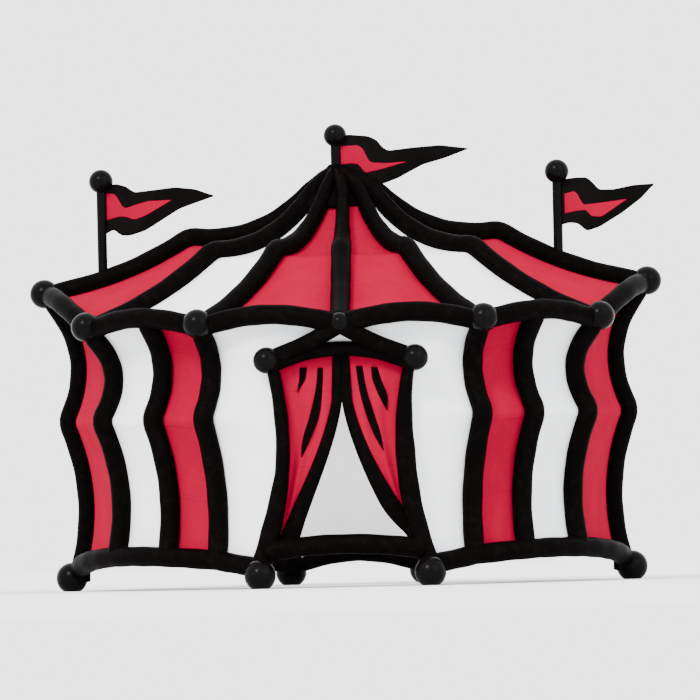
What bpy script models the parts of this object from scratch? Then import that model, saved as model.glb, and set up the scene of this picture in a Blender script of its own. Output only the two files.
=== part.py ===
"""A small circus big top: a twelve-ribbed tent of red and white canvas hung inside a black padded tube frame.

The tent stands on the ground at z = 0, centred on the origin, with its doorway towards -Y.
Angles are plan angles in degrees, measured from the doorway (-Y) towards +X.
"""

import math

import bmesh
import bpy
import numpy as np

# Driving dimensions, in metres and degrees.
GAP = 0.0003
SEAM_INSET = 0.0004
FABRIC_THICKNESS = 0.02
TUBE_RADIUS = 0.15
HEADER_RADIUS = 0.1
MAST_RADIUS = 0.08
TUBE_SIDES = 8
MAST_SIDES = 24
BALL_SEGMENTS = 12
BALL_RINGS = 8
BALL_LATITUDE = 80.0
FOOT_FLAT_STEP = 0.02

DOOR_ANGLE = 14.0
RIB_ANGLES = (0.0, 28.0, 58.0, 90.0)
RIB_PLACES = ("centre", "inner", "outer", "side")
STRIPE_ANGLE = 41.0
FRONT_BAY = (0.0, 7.0, 14.0, 21.0, 28.0)
FIRST_STRIPE = (28.0, 34.5, 41.0)
SECOND_STRIPE = (41.0, 49.5, 58.0)
MIDDLE_BAY = (28.0, 34.5, 41.0, 49.5, 58.0)
SIDE_BAY = (58.0, 66.0, 74.0, 82.0, 90.0)

CROWN_RADIUS = 0.6
CROWN_Z = 6.38
ROOF_KINK_RADIUS = 2.55
ROOF_KINK_Z = 5.5
EAVE_RADIUS = 4.8
EAVE_Z = 4.28
EAVE_ARCH = 0.18
SIDE_LIFT = 0.6
SIDE_KINK_LIFT = 0.25
INNER_SAG = 0.24
OUTER_SAG = 0.12
ROOF_ROWS = 5

WALL_KINK_Z = 2.82
WALL_KINK_RADIUS = 4.57
UPPER_WALL_SAG = 0.33
LOWER_WALL_SAG = 0.22
UPPER_ROWS = 6
LOWER_ROWS = 5
SEAM_FLICK = 1.6
RIB_FLICK = 3.5
RIB_FLICK_SHARES = (0.0, 1.0, 0.4, 0.0)
BASE_RADIUS = 4.42
BASE_Z = 0.34
BASE_ARCH = 0.2

BALL_RADIUS = 0.24
CENTRE_BALL_RADIUS = 0.2
FOOT_RADIUS = 0.26
FOOT_CENTRE_Z = 0.22
FOOT_TUBE_SINK = 0.08

DOOR_PLANE_Y = -4.55
DOOR_TOP_Z = 3.75
DOOR_TOP_HALF = 1.22
DOOR_FOOT_HALF = 1.4
DOOR_POST_BOW = 0.27
SILL_Z = 0.58
SILL_ARCH = 0.13
DOOR_BALL_RADIUS = 0.22
HEADER_MID_Z = 3.92
HEADER_ROW = 2.5
POST_ROWS_ABOVE_KINK = 4
GABLE_INWARD = (0.23, 0.97, 0.0)
HEADER_INWARD = (0.0, 0.933, 0.36)
FRONT_HOOK = 0.13
GABLE_PANEL_ROWS = (0.2, 1.0, 2.0, HEADER_ROW)
HEADER_COLUMNS = 8
CURTAIN_APEX_Z = 3.05
CURTAIN_HEM_Z = 0.72
CURTAIN_GAP_HALF = 0.004
CURTAIN_OPEN_HALF = 0.87
CURTAIN_SWEEP = 1.35

CAP_RADIUS = 0.75
CAP_SKIRT = 0.3
CAP_PROFILE = ((0.75, 6.6), (0.46, 6.76), (0.22, 6.93), (0.08, 7.04))
CROWN_X = -0.12
MAST_BALL_Z = 7.5
MAST_BALL_RADIUS = 0.19
SIDE_MAST_X = {-1: -4.04, 1: 3.56}
SIDE_MAST_BALL_Z = 6.82
SIDE_BALL_RADIUS = 0.2
FLAG_THICKNESS = 0.03
FLAG_WAVE = 0.1
FLAG_COLUMNS = 14
FLAG_ROWS = 3

RED_ROUGHNESS, WHITE_ROUGHNESS, BLACK_ROUGHNESS = 0.45, 0.5, 0.4
RED = (0.70, 0.051, 0.102, 1.0)
WHITE = (0.81, 0.82, 0.85, 1.0)
BLACK = (0.011, 0.0095, 0.0095, 1.0)


def make_material(name, colour, roughness):
    """A Principled material of one colour."""
    material = bpy.data.materials.new(name)
    material.use_nodes = True
    shader = material.node_tree.nodes["Principled BSDF"]
    shader.inputs["Base Color"].default_value = colour
    shader.inputs["Roughness"].default_value = roughness
    material.diffuse_color = colour
    return material


def clear_scene():
    """Removes every object, so that the model starts from nothing."""
    for old in list(bpy.data.objects):
        bpy.data.objects.remove(old, do_unlink=True)


# Lines: a line of the cage is its points on the canvas and, at each, the direction into the tent.


def unit(vectors):
    """Each row at length one."""
    vectors = np.asarray(vectors, float)
    return vectors / np.linalg.norm(vectors, axis=-1, keepdims=True)


def in_plan(angle, radius, z):
    """The point at a plan angle, a distance from the axis and a height."""
    turn = math.radians(angle)
    return np.array((radius * math.sin(turn), -radius * math.cos(turn), z))


def folded(angle):
    """The plan angle brought into the first quarter, because the tent mirrors front to back and side to side."""
    size = abs(angle)
    return size if size <= 90.0 else 180.0 - size


def unfolded(quarter, side, back):
    """The plan angle of a quarter angle on one side (1 or -1) and at the front or the back."""
    return side * (180.0 - quarter if back else quarter)


def sagging_span(start, end, sag, rows):
    """Points from start to end in the (radius, height) plane, hanging below or inside the straight line by sag."""
    start, end = np.array(start), np.array(end)
    across = end - start
    normal = np.array((across[1], -across[0])) / np.linalg.norm(across)
    share = np.linspace(0.0, 1.0, rows + 1)[:, None]
    return start + share * across + normal * sag * 4 * share * (1 - share)


def profile_normals(profile):
    """The inward normal at each point of an outline that runs from the crown down to the ground."""
    steps = unit(np.diff(profile, axis=0))
    ahead = np.vstack([steps, steps[-1:]])
    behind = np.vstack([steps[:1], steps])
    along = unit(ahead + behind)
    return np.column_stack([along[:, 1], -along[:, 0]])


def eave_height(angle):
    """Height of the canvas at the eaves: an arch over each bay, and a climb to the two side posts."""
    quarter = folded(angle)
    low = max(a for a in RIB_ANGLES[:-1] if a <= quarter)
    high = RIB_ANGLES[RIB_ANGLES.index(low) + 1]
    share = (quarter - low) / (high - low)
    climb = SIDE_LIFT * share if high == 90.0 else 0.0
    return EAVE_Z + climb + EAVE_ARCH * math.sin(math.pi * share)


def base_height(angle):
    """Height of the canvas hem: an arch between each foot and the next."""
    quarter = folded(angle)
    if quarter < DOOR_ANGLE:
        return BASE_Z + BASE_ARCH * math.cos(math.pi * quarter / (2 * DOOR_ANGLE))
    return BASE_Z + BASE_ARCH * math.sin(math.pi * (quarter - DOOR_ANGLE) / (90.0 - DOOR_ANGLE))


def meridian(angle):
    """The whole outline at a plan angle, from crown to hem, with the row numbers of its eave."""
    climb = max(0.0, (folded(angle) - RIB_ANGLES[-2]) / (RIB_ANGLES[-1] - RIB_ANGLES[-2]))
    crown, kink = (CROWN_RADIUS, CROWN_Z), (ROOF_KINK_RADIUS, ROOF_KINK_Z + SIDE_KINK_LIFT * climb)
    eave = (EAVE_RADIUS, eave_height(angle))
    wall_kink = (WALL_KINK_RADIUS, WALL_KINK_Z)
    hem = (BASE_RADIUS, base_height(angle))
    spans = [
        sagging_span(crown, kink, INNER_SAG, ROOF_ROWS),
        sagging_span(kink, eave, OUTER_SAG, ROOF_ROWS)[1:],
        sagging_span(eave, wall_kink, UPPER_WALL_SAG, UPPER_ROWS)[1:],
        sagging_span(wall_kink, hem, LOWER_WALL_SAG, LOWER_ROWS)[1:],
    ]
    return np.vstack(spans)


EAVE_ROW = 2 * ROOF_ROWS
KINK_ROW = EAVE_ROW + UPPER_ROWS
LAST_ROW = KINK_ROW + LOWER_ROWS


def flick(angle, row):
    """How far a seam swings near a fold, in degrees: on the wall away from the doorway, on the roof towards it."""
    quarter = folded(angle)
    if quarter in (0.0, 90.0):
        return 0.0
    if row <= EAVE_ROW:
        swing = -RIB_FLICK * float(np.interp(quarter, RIB_ANGLES, RIB_FLICK_SHARES))
        share = max(0.0, 1.0 - abs(row - ROOF_ROWS) / ROOF_ROWS)
    else:
        swing = SEAM_FLICK
        share = max(0.0, 1.0 - abs(row - KINK_ROW) / (UPPER_ROWS if row < KINK_ROW else LOWER_ROWS))
    outward = 1.0 if abs(angle) < 90.0 else -1.0
    return swing * share * outward * (1.0 if angle > 0 else -1.0)


def meridian_line(angle):
    """The line down the tent at a plan angle, as points and inward directions."""
    profile = meridian(angle)
    normals = profile_normals(profile)
    turned = [angle + flick(angle, row) for row in range(len(profile))]
    points = [in_plan(a, r, z) for a, (r, z) in zip(turned, profile)]
    inward = [in_plan(a, n[0], n[1]) for a, n in zip(turned, normals)]
    return np.array(points), unit(inward)


def seam_line(angle, first, last):
    """One stretch of the line down the tent, its directions square to the stretch even at its ends."""
    normals = profile_normals(meridian(angle)[first : last + 1])
    rows = range(first, last + 1)
    inward = [in_plan(angle + flick(angle, row), n[0], n[1]) for row, n in zip(rows, normals)]
    return meridian_line(angle)[0][first : last + 1], unit(inward)


def roof_line(angle):
    return seam_line(angle, 0, EAVE_ROW)


def wall_line(angle):
    return seam_line(angle, EAVE_ROW, LAST_ROW)


def hooked_rib_line(angle):
    """A rib that bends over the eaves, for the two ribs at the front and back centre."""
    points, inward = meridian_line(angle)
    kept = slice(0, EAVE_ROW + 1)
    if angle == 0.0:
        tail, tail_inward = points[EAVE_ROW] - (0.0, 0.0, FRONT_HOOK), (0.0, 1.0, 0.0)
    else:
        tail, tail_inward = (points[EAVE_ROW] + points[EAVE_ROW + 1]) / 2, inward[EAVE_ROW + 1]
    return np.vstack([points[kept], tail]), np.vstack([inward[kept], tail_inward])


def side_post_line(side):
    """A side post that bends over the eaves a little way up the roof."""
    points, inward = meridian_line(side * 90.0)
    tip = (points[EAVE_ROW - 1] + points[EAVE_ROW]) / 2
    return np.vstack([tip, points[EAVE_ROW:]]), np.vstack([inward[EAVE_ROW - 1], inward[EAVE_ROW:]])


def side_rib_line(side):
    """A side rib, which ends where the side post's bend begins."""
    points, inward = meridian_line(side * 90.0)
    tip = (points[EAVE_ROW - 1] + points[EAVE_ROW]) / 2
    return np.vstack([points[:EAVE_ROW], tip]), np.vstack([inward[:EAVE_ROW], inward[EAVE_ROW - 1]])


def ring_line(angles, row):
    """The line round the tent through one row of the meridians at these angles."""
    lines = [meridian_line(a) for a in angles]
    return np.array([p[row] for p, _ in lines]), np.array([d[row] for _, d in lines])


def door_post_x(z):
    """Half the doorway's width at a height: the posts bow inwards and spread at the foot."""
    share = (DOOR_TOP_Z - z) / (DOOR_TOP_Z - BASE_Z)
    straight = DOOR_TOP_HALF + (DOOR_FOOT_HALF - DOOR_TOP_HALF) * share
    return straight - DOOR_POST_BOW * 4 * share * (1 - share)


def door_post_heights():
    """Heights of the points down a door post, as many above the wall's fold as the gable leaves."""
    above = np.linspace(DOOR_TOP_Z, WALL_KINK_Z, POST_ROWS_ABOVE_KINK + 1)
    return np.concatenate([above, np.linspace(WALL_KINK_Z, BASE_Z, LOWER_ROWS + 1)[1:]])


def door_post_line(side):
    points = [(side * door_post_x(z), DOOR_PLANE_Y, z) for z in door_post_heights()]
    return np.array(points), np.tile((0.0, 1.0, 0.0), (len(points), 1))


def door_edge_line(side):
    """The edge of the canvas beside the doorway: up the gable from the post's head, and down the post."""
    gable_rows = UPPER_ROWS - POST_ROWS_ABOVE_KINK
    apex = ring_line((0.0,), EAVE_ROW)[0][0]
    posts, posts_inward = door_post_line(side)
    share = np.linspace(0.0, 1.0, gable_rows + 1)[:-1, None]
    gable = apex + (posts[0] - apex) * share
    towards_tent = np.array(GABLE_INWARD) * (-side, 1.0, 1.0)
    inward = np.vstack([np.tile(towards_tent, (gable_rows, 1)), posts_inward])
    return np.vstack([gable, posts]), unit(inward), gable_rows


def door_arch_line(half_width, z, rise):
    """A low arch across the doorway, from -X to +X."""
    share = np.linspace(-1.0, 1.0, HEADER_COLUMNS + 1)
    points = np.column_stack([share * half_width, np.full_like(share, DOOR_PLANE_Y), z + rise * (1 - share**2)])
    return points, np.tile((0.0, 1.0, 0.0), (HEADER_COLUMNS + 1, 1))


def between_rows(values, rows):
    """Each column of values, given at whole rows, read at rows between them."""
    return np.column_stack([np.interp(rows, np.arange(len(values)), column) for column in values.T])


def header_line():
    """The arch over the doorway, which leaves the posts a little under their heads."""
    end = between_rows(door_edge_line(1)[0], [HEADER_ROW])[0]
    points, _ = door_arch_line(end[0], end[2], HEADER_MID_Z - end[2])
    return points, np.tile(unit(HEADER_INWARD), (len(points), 1))


def sill_line():
    return door_arch_line(door_post_x(SILL_Z), SILL_Z, SILL_ARCH)


def hem_to_door_line(side, angles):
    """The hem from a wall seam to the doorway's foot, as many points as there are angles."""
    far, far_inward = (part[0] for part in ring_line((side * angles[-1],), -1))
    near, near_inward = (part[-1] for part in door_post_line(side))
    share = np.linspace(0.0, 1.0, len(angles))[:, None]
    return near + (far - near) * share, unit(near_inward + (far_inward - near_inward) * share)


# Meshes.


def finish_mesh(name, vertices, faces):
    """A mesh from points and faces, with its faces turned outwards, smooth but for flat ends."""
    mesh = bpy.data.meshes.new(name)
    mesh.from_pydata([tuple(v) for v in vertices], [], faces)
    edited = bmesh.new()
    edited.from_mesh(mesh)
    bmesh.ops.recalc_face_normals(edited, faces=edited.faces)
    for face in edited.faces:
        face.smooth = len(face.verts) <= 4
    edited.to_mesh(mesh)
    edited.free()
    return mesh


def tube_mesh(name, line, radius, extra=0.0):
    """A padded tube that lies outside the canvas along a line, one corner of its section towards the canvas.

    extra makes it fatter about the same centre line, for a cutter that leaves a gap.
    """
    points, inward = line
    steps = unit(np.diff(points, axis=0))
    along = unit(np.vstack([steps[:1], steps]) + np.vstack([steps, steps[-1:]]))
    across = unit(np.cross(along, inward))
    inward = np.cross(across, along)
    centres = points - inward * (radius + GAP)
    centres[0] -= extra * steps[0]
    centres[-1] += extra * steps[-1]
    turns = np.arange(TUBE_SIDES) * 2 * math.pi / TUBE_SIDES
    fat = radius + extra
    rings = (
        centres[:, None]
        + inward[:, None] * (fat * np.cos(turns))[None, :, None]
        + across[:, None] * (fat * np.sin(turns))[None, :, None]
    )
    count = len(points)
    faces = []
    for ring in range(count - 1):
        for k in range(TUBE_SIDES):
            here, there = ring * TUBE_SIDES, (ring + 1) * TUBE_SIDES
            after = (k + 1) % TUBE_SIDES
            faces.append((here + k, here + after, there + after))
            faces.append((here + k, there + after, there + k))
    faces.append(tuple(range(TUBE_SIDES)))
    faces.append(tuple((count - 1) * TUBE_SIDES + k for k in range(TUBE_SIDES)))
    return finish_mesh(name, rings.reshape(-1, 3), faces)


def turned_mesh(name, profile, centre, segments=BALL_SEGMENTS):
    """A solid turned about the vertical through centre, from an open outline of (radius, height)."""
    turns = (np.arange(segments) + 0.5) * 2 * math.pi / segments
    rings = [(r * math.cos(t), r * math.sin(t), z) for r, z in profile for t in turns]
    vertices = np.array(rings) + np.array((centre[0], centre[1], 0.0))
    faces = []
    for ring in range(len(profile) - 1):
        for k in range(segments):
            here, there = ring * segments, (ring + 1) * segments
            after = (k + 1) % segments
            faces.append((here + k, here + after, there + after, there + k))
    faces.append(tuple(range(segments)))
    faces.append(tuple((len(profile) - 1) * segments + k for k in range(segments)))
    return finish_mesh(name, vertices, faces)


def ball_profile(radius, z, lowest=-1.0):
    """A ball's outline from bottom to top, with small flats at its poles and nothing below lowest."""
    turns = np.radians(np.linspace(-BALL_LATITUDE, BALL_LATITUDE, BALL_RINGS))
    outline = [(radius * math.cos(t), z + radius * math.sin(t)) for t in turns]
    kept = [(r, h) for r, h in outline if h > lowest + FOOT_FLAT_STEP]
    if len(kept) < len(outline):
        foot = math.sqrt(radius**2 - (z - lowest) ** 2)
        kept.insert(0, (foot, lowest))
    return kept


def ball_mesh(name, centre, radius, extra=0.0):
    return turned_mesh(name, ball_profile(radius + extra, centre[2]), centre)


def foot_mesh(name, centre, extra=0.0):
    """A ball foot with a flat underside on the ground."""
    return turned_mesh(name, ball_profile(FOOT_RADIUS + extra, centre[2], -extra), centre)


def slab_mesh(name, outer, inner):
    """A closed slab between two grids of points."""
    rows, columns = outer.shape[:2]

    def at(layer, row, column):
        return layer * rows * columns + row * columns + column

    faces = []
    for layer in (0, 1):
        for r in range(rows - 1):
            for c in range(columns - 1):
                corners = (at(layer, r, c), at(layer, r, c + 1), at(layer, r + 1, c + 1), at(layer, r + 1, c))
                faces.append(corners)
    for c in range(columns - 1):
        for r in (0, rows - 1):
            faces.append((at(0, r, c), at(0, r, c + 1), at(1, r, c + 1), at(1, r, c)))
    for r in range(rows - 1):
        for c in (0, columns - 1):
            faces.append((at(0, r, c), at(0, r + 1, c), at(1, r + 1, c), at(1, r, c)))
    vertices = np.vstack([outer.reshape(-1, 3), inner.reshape(-1, 3)])
    return finish_mesh(name, vertices, faces)


def coons_grid(left, right, top, bottom, fade):
    """A grid of points that fills four edge lines.

    It is straight across from side to side, and the bend of its upper and lower edge fades away from them,
    the faster the higher fade is.
    """
    v = np.linspace(0.0, 1.0, len(left))[:, None, None]
    u = np.linspace(0.0, 1.0, len(top))[None, :, None]
    across = (1 - u) * left[:, None] + u * right[:, None]
    top_bend = top[None] - ((1 - u) * top[0] + u * top[-1])
    bottom_bend = bottom[None] - ((1 - u) * bottom[0] + u * bottom[-1])
    return across + (1 - v) ** fade * top_bend + v**fade * bottom_bend


def inset_edges(grid):
    """Draws a grid's four edges in a little, so that the panel is clear of its neighbours."""
    grid = grid.copy()
    grid[0] += SEAM_INSET * unit(grid[1] - grid[0])
    grid[-1] += SEAM_INSET * unit(grid[-2] - grid[-1])
    grid[:, 0] += SEAM_INSET * unit(grid[:, 1] - grid[:, 0])
    grid[:, -1] += SEAM_INSET * unit(grid[:, -2] - grid[:, -1])
    return grid


def add_object(name, mesh, material):
    made = bpy.data.objects.new(name, mesh)
    made.data.materials.append(material)
    bpy.context.scene.collection.objects.link(made)
    return made


def add_canvas(name, left, right, top, bottom, material, fade=2.0):
    """A canvas panel between four lines, of real thickness."""
    outer = coons_grid(left[0], right[0], top[0], bottom[0], fade)
    deep = [points + inward * FABRIC_THICKNESS for points, inward in (left, right, top, bottom)]
    for side, corner in ((deep[0], 0), (deep[1], -1)):
        side[0], side[-1] = deep[2][corner], deep[3][corner]
    inner = coons_grid(*deep, fade)
    return add_object(name, slab_mesh(name, inset_edges(outer), inset_edges(inner)), material)


def add_meridian_canvas(name, angles, first, last, material):
    """A canvas panel that follows the tent's round from one row of its outline to another."""
    lines = [meridian_line(angle) for angle in angles]
    outer = np.stack([points[first : last + 1] for points, _ in lines], axis=1)
    inner = outer + FABRIC_THICKNESS * np.stack([inward[first : last + 1] for _, inward in lines], axis=1)
    return add_object(name, slab_mesh(name, inset_edges(outer), inset_edges(inner)), material)


def helper_collection(name, meshes):
    """A hidden collection of shapes that a Boolean uses."""
    group = bpy.data.collections.new(name)
    bpy.context.scene.collection.children.link(group)
    for mesh in meshes:
        helper = bpy.data.objects.new(mesh.name, mesh)
        helper.hide_render = True
        helper.display_type = "WIRE"
        group.objects.link(helper)
    return group


def add_fused(name, meshes, material, cutters=()):
    """One solid from several that overlap, less what the cutters take away."""
    made = add_object(name, meshes[0], material)
    for operation, shapes in (("UNION", meshes[1:]), ("DIFFERENCE", cutters)):
        if not shapes:
            continue
        boolean = made.modifiers.new(operation.title(), "BOOLEAN")
        boolean.operation = operation
        boolean.solver = "EXACT"
        boolean.operand_type = "COLLECTION"
        boolean.collection = helper_collection(f"{name}_{operation.lower()}", shapes)
    return made


# Where the balls stand.


def tube_centre(line, index, out=TUBE_RADIUS + GAP):
    return line[0][index] - line[1][index] * out


def eave_ball(angle, extra=0.0):
    """The ball finial on an eave corner, standing out from the tubes and flush with them inside."""
    radius = CENTRE_BALL_RADIUS if folded(angle) == 0.0 else BALL_RADIUS
    centre = tube_centre(ring_line((angle,), EAVE_ROW), 0, radius + GAP)
    return ball_mesh(f"eave_ball_{angle:g}_{extra:g}", centre, radius, extra)


def foot_at(line, extra=0.0):
    """The ball foot at the end of a post's line."""
    centre = tube_centre(line, -1, FOOT_RADIUS + GAP)
    centre[2] = FOOT_CENTRE_Z
    return foot_mesh(f"foot_{extra:g}", centre, extra)


def down_to_foot(line):
    """A post's line carried down into its foot."""
    points, inward = line
    low = points[-1].copy()
    low[2] = FOOT_CENTRE_Z - FOOT_TUBE_SINK
    return np.vstack([points, low]), np.vstack([inward, inward[-1]])


# The cage.


def add_crown(black):
    """The crown cap that gathers the ribs, with the middle mast and its ball."""
    skirt = [(CAP_RADIUS, CROWN_Z + GAP), *CAP_PROFILE]
    cap = turned_mesh("crown_cap", [*skirt, (MAST_RADIUS, MAST_BALL_Z)], (CROWN_X, 0.0), MAST_SIDES)
    ball = ball_mesh("crown_ball", np.array((CROWN_X, 0.0, MAST_BALL_Z)), MAST_BALL_RADIUS)
    return add_fused("crown_mast", [cap, ball], black)


def crown_cutter():
    """The crown cap, a gap larger all round."""
    skirt = [(CAP_RADIUS + GAP, CROWN_Z - CAP_SKIRT), *[(r + GAP, z + GAP) for r, z in CAP_PROFILE]]
    return turned_mesh("crown_cutter", skirt, (CROWN_X, 0.0), MAST_SIDES)


def rib_name(angle):
    side = "left" if angle < 0 else "right"
    place = RIB_PLACES[RIB_ANGLES.index(folded(angle))]
    face = "front" if abs(angle) < 90.0 else "back"
    if place == "centre":
        return f"roof_rib_{face}_centre"
    if place == "side":
        return f"roof_rib_{side}_side"
    return f"roof_rib_{face}_{side}_{place}"


def all_rib_angles():
    inner = [side * unfolded(q, 1, back) for back in (False, True) for q in RIB_ANGLES[1:3] for side in (-1, 1)]
    return [0.0, 180.0, -90.0, 90.0, *inner]


def add_ribs(black):
    """Twelve bent tubes from the crown cap to the eave corners."""
    for angle in all_rib_angles():
        name = rib_name(angle)
        if folded(angle) == 0.0:
            tube = tube_mesh(name, hooked_rib_line(angle), TUBE_RADIUS)
            add_fused(name, [tube, eave_ball(angle)], black, [crown_cutter()])
            continue
        side, back = math.copysign(1, angle), abs(angle) > 90.0
        cutters = [crown_cutter(), eave_ball(angle, GAP)]
        if folded(angle) == 90.0:
            tube = tube_mesh(name, side_rib_line(side), TUBE_RADIUS)
            cutters.append(tube_mesh("post_cutter", side_post_line(side), TUBE_RADIUS, GAP))
        else:
            tube = tube_mesh(name, roof_line(angle), TUBE_RADIUS)
            cutters.append(tube_mesh("eave_cutter", eave_line(side, back), TUBE_RADIUS, GAP))
            cutters.append(tube_mesh("wall_tube_cutter", wall_line(angle), TUBE_RADIUS, GAP))
        add_fused(name, [tube], black, cutters)


def add_side_post(side, black):
    """The tall post at one side of the tent, with its eave ball and its foot."""
    name = "side_post_left" if side < 0 else "side_post_right"
    line = side_post_line(side)
    meshes = [tube_mesh(name, down_to_foot(line), TUBE_RADIUS), eave_ball(side * 90.0), foot_at(line)]
    add_fused(name, meshes, black)


def base_rail_line(side, back):
    """The hem rail of one quarter, from the doorway's foot, or the back centre, to the side post."""
    angles = [unfolded(q, side, back) for q in (*MIDDLE_BAY, *SIDE_BAY[1:])]
    points, inward = ring_line(angles, -1)
    if back:
        near = ring_line([unfolded(q, side, True) for q in FRONT_BAY[2:-1]], -1)
    else:
        near = tuple(part[:-1] for part in hem_to_door_line(side, FRONT_BAY))
    return np.vstack([near[0], points]), np.vstack([near[1], inward])


def eave_line(side, back):
    angles = [unfolded(q, side, back) for q in (*FRONT_BAY, *MIDDLE_BAY[1:], *SIDE_BAY[1:])]
    return ring_line(angles, EAVE_ROW)


def add_wall_frame(side, back, black):
    """The eave tubes, wall tubes and hem rail of one quarter, joined, with the balls on its two eave corners."""
    name = f"wall_frame_{'back' if back else 'front'}_{'left' if side < 0 else 'right'}"
    meshes = [tube_mesh(name, eave_line(side, back), TUBE_RADIUS)]
    meshes.append(tube_mesh(name + "_rail", base_rail_line(side, back), TUBE_RADIUS))
    for quarter in (RIB_ANGLES[1], STRIPE_ANGLE, RIB_ANGLES[2]):
        angle = unfolded(quarter, side, back)
        meshes.append(tube_mesh(f"{name}_{quarter:g}", wall_line(angle), TUBE_RADIUS))
    for quarter in RIB_ANGLES[1:3]:
        meshes.append(eave_ball(unfolded(quarter, side, back)))
    centre_angle = 180.0 if back else 0.0
    post = side_post_line(side)
    cutters = [
        tube_mesh("post_cutter", down_to_foot(post), TUBE_RADIUS, GAP),
        eave_ball(side * 90.0, GAP),
        eave_ball(centre_angle, GAP),
        tube_mesh("rib_cutter", hooked_rib_line(centre_angle), TUBE_RADIUS, GAP),
        tube_mesh("side_rib_cutter", side_rib_line(side), TUBE_RADIUS, GAP),
        foot_at(post, GAP),
    ]
    near_foot = wall_line(unfolded(DOOR_ANGLE, side, True)) if back else door_foot_line(side)
    cutters.append(foot_at(near_foot, GAP))
    cutters.append(tube_mesh("near_post_cutter", down_to_foot(near_foot), TUBE_RADIUS, GAP))
    add_fused(name, meshes, black, cutters)


def door_foot_line(side):
    points, inward, gable_rows = door_edge_line(side)
    return points[gable_rows:], inward[gable_rows:]


def gable_line(side):
    points, inward, gable_rows = door_edge_line(side)
    return points[: gable_rows + 1], inward[: gable_rows + 1]


def eave_cutters(side, back):
    """The eave tube and centre ball that the doorway's gable runs up to, a gap larger."""
    return [tube_mesh(f"eave_cutter_{side}", eave_line(side, back), TUBE_RADIUS, GAP)]


def add_door_frame(black):
    """The doorway's two posts with their balls and feet, the header, the sill and the gable over it."""
    meshes = [tube_mesh("door_frame", sill_line(), TUBE_RADIUS)]
    meshes.append(tube_mesh("door_header", header_line(), HEADER_RADIUS))
    for side in (-1, 1):
        post = door_foot_line(side)
        meshes.append(tube_mesh(f"door_post_{side}", down_to_foot(post), TUBE_RADIUS))
        meshes.append(foot_at(post))
        head = tube_centre(post, 0, DOOR_BALL_RADIUS + GAP)
        meshes.append(ball_mesh(f"door_ball_{side}", head, DOOR_BALL_RADIUS))
        meshes.append(tube_mesh(f"door_gable_{side}", gable_line(side), HEADER_RADIUS))
    cutters = [*eave_cutters(-1, False), *eave_cutters(1, False)]
    cutters.append(eave_ball(0.0, GAP))
    cutters.append(tube_mesh("rib_cutter", hooked_rib_line(0.0), TUBE_RADIUS, GAP))
    add_fused("door_frame", meshes, black, cutters)


def add_back_frame(black):
    """The two posts behind, in line with the doorway's, with their feet and the rail between them."""
    quarters = [DOOR_ANGLE, DOOR_ANGLE / 2, 0.0]
    angles = [unfolded(q, 1, True) for q in quarters] + [unfolded(q, -1, True) for q in quarters[1::-1]]
    meshes = [tube_mesh("back_frame", ring_line(angles, LAST_ROW), TUBE_RADIUS)]
    cutters = [*eave_cutters(-1, True), *eave_cutters(1, True)]
    for side in (-1, 1):
        line = wall_line(unfolded(DOOR_ANGLE, side, True))
        meshes.append(tube_mesh("back_post", down_to_foot(line), TUBE_RADIUS))
        meshes.append(foot_at(line))
    add_fused("back_frame", meshes, black, cutters)


# The canvas.


def part_of(line, first, last):
    return line[0][first : last + 1], line[1][first : last + 1]


def add_roof_panels(red, white):
    """Twelve roof panels, red, white, red in each quarter."""
    bays = (("inner", FRONT_BAY, red), ("middle", MIDDLE_BAY, white), ("outer", SIDE_BAY, red))
    for back in (False, True):
        for side in (-1, 1):
            for place, bay, material in bays:
                angles = [unfolded(q, side, back) for q in bay]
                name = f"roof_{'back' if back else 'front'}_{'left' if side < 0 else 'right'}_{place}"
                add_meridian_canvas(name, angles, 0, EAVE_ROW, material)


def add_wall_stripes(red, white):
    """The wall panels of each quarter between the doorway's canvas and the side post."""
    stripes = (
        ("red_inner", FIRST_STRIPE, red),
        ("white", SECOND_STRIPE, white),
        ("red_outer", SIDE_BAY, red),
    )
    for back in (False, True):
        for side in (-1, 1):
            for place, stripe, material in stripes:
                angles = [unfolded(q, side, back) for q in stripe]
                name = f"wall_{'back' if back else 'front'}_{'left' if side < 0 else 'right'}_{place}"
                add_meridian_canvas(name, angles, EAVE_ROW, LAST_ROW, material)


def add_door_walls(white):
    """The white canvas on each side of the doorway, which reaches over it up to the eaves."""
    for side in (-1, 1):
        name = "door_wall_left" if side < 0 else "door_wall_right"
        edge = door_edge_line(side)[:2]
        eave = ring_line([side * q for q in FRONT_BAY], EAVE_ROW)
        hem = hem_to_door_line(side, FRONT_BAY)
        add_canvas(name, edge, part_of(meridian_line(side * RIB_ANGLES[1]), EAVE_ROW, LAST_ROW), eave, hem, white)


def add_gable_panel(white):
    """The small white triangle between the header and the gable tubes."""
    apex_inward = ring_line((0.0,), EAVE_ROW)[1][0]
    edges = []
    for side in (-1, 1):
        points, inward, _ = door_edge_line(side)
        inward[0] = apex_inward
        edges.append([between_rows(part, GABLE_PANEL_ROWS) for part in (points, inward)])
    left, right = edges
    share = np.linspace(0.0, 1.0, HEADER_COLUMNS + 1)[:, None]
    top = tuple(a[0] + (b[0] - a[0]) * share for a, b in zip(left, right))
    header, header_inward = header_line()
    header_inward[[0, -1]] = (0.0, 1.0, 0.0)
    add_canvas("gable_panel", left, right, top, (header, header_inward), white, fade=1.0)


def add_back_wall(white):
    """The white canvas of the closed bay at the back."""
    quarters = [unfolded(q, 1, True) for q in FRONT_BAY[::-1]]
    angles = quarters + [unfolded(q, -1, True) for q in FRONT_BAY[1:]]
    add_meridian_canvas("back_wall", angles, EAVE_ROW, LAST_ROW, white)


def curtain_inner_x(z):
    """Half the gap between the curtains at a height."""
    share = max(0.0, (CURTAIN_APEX_Z - z) / (CURTAIN_APEX_Z - CURTAIN_HEM_Z))
    return CURTAIN_GAP_HALF + CURTAIN_OPEN_HALF * share**CURTAIN_SWEEP


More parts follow.
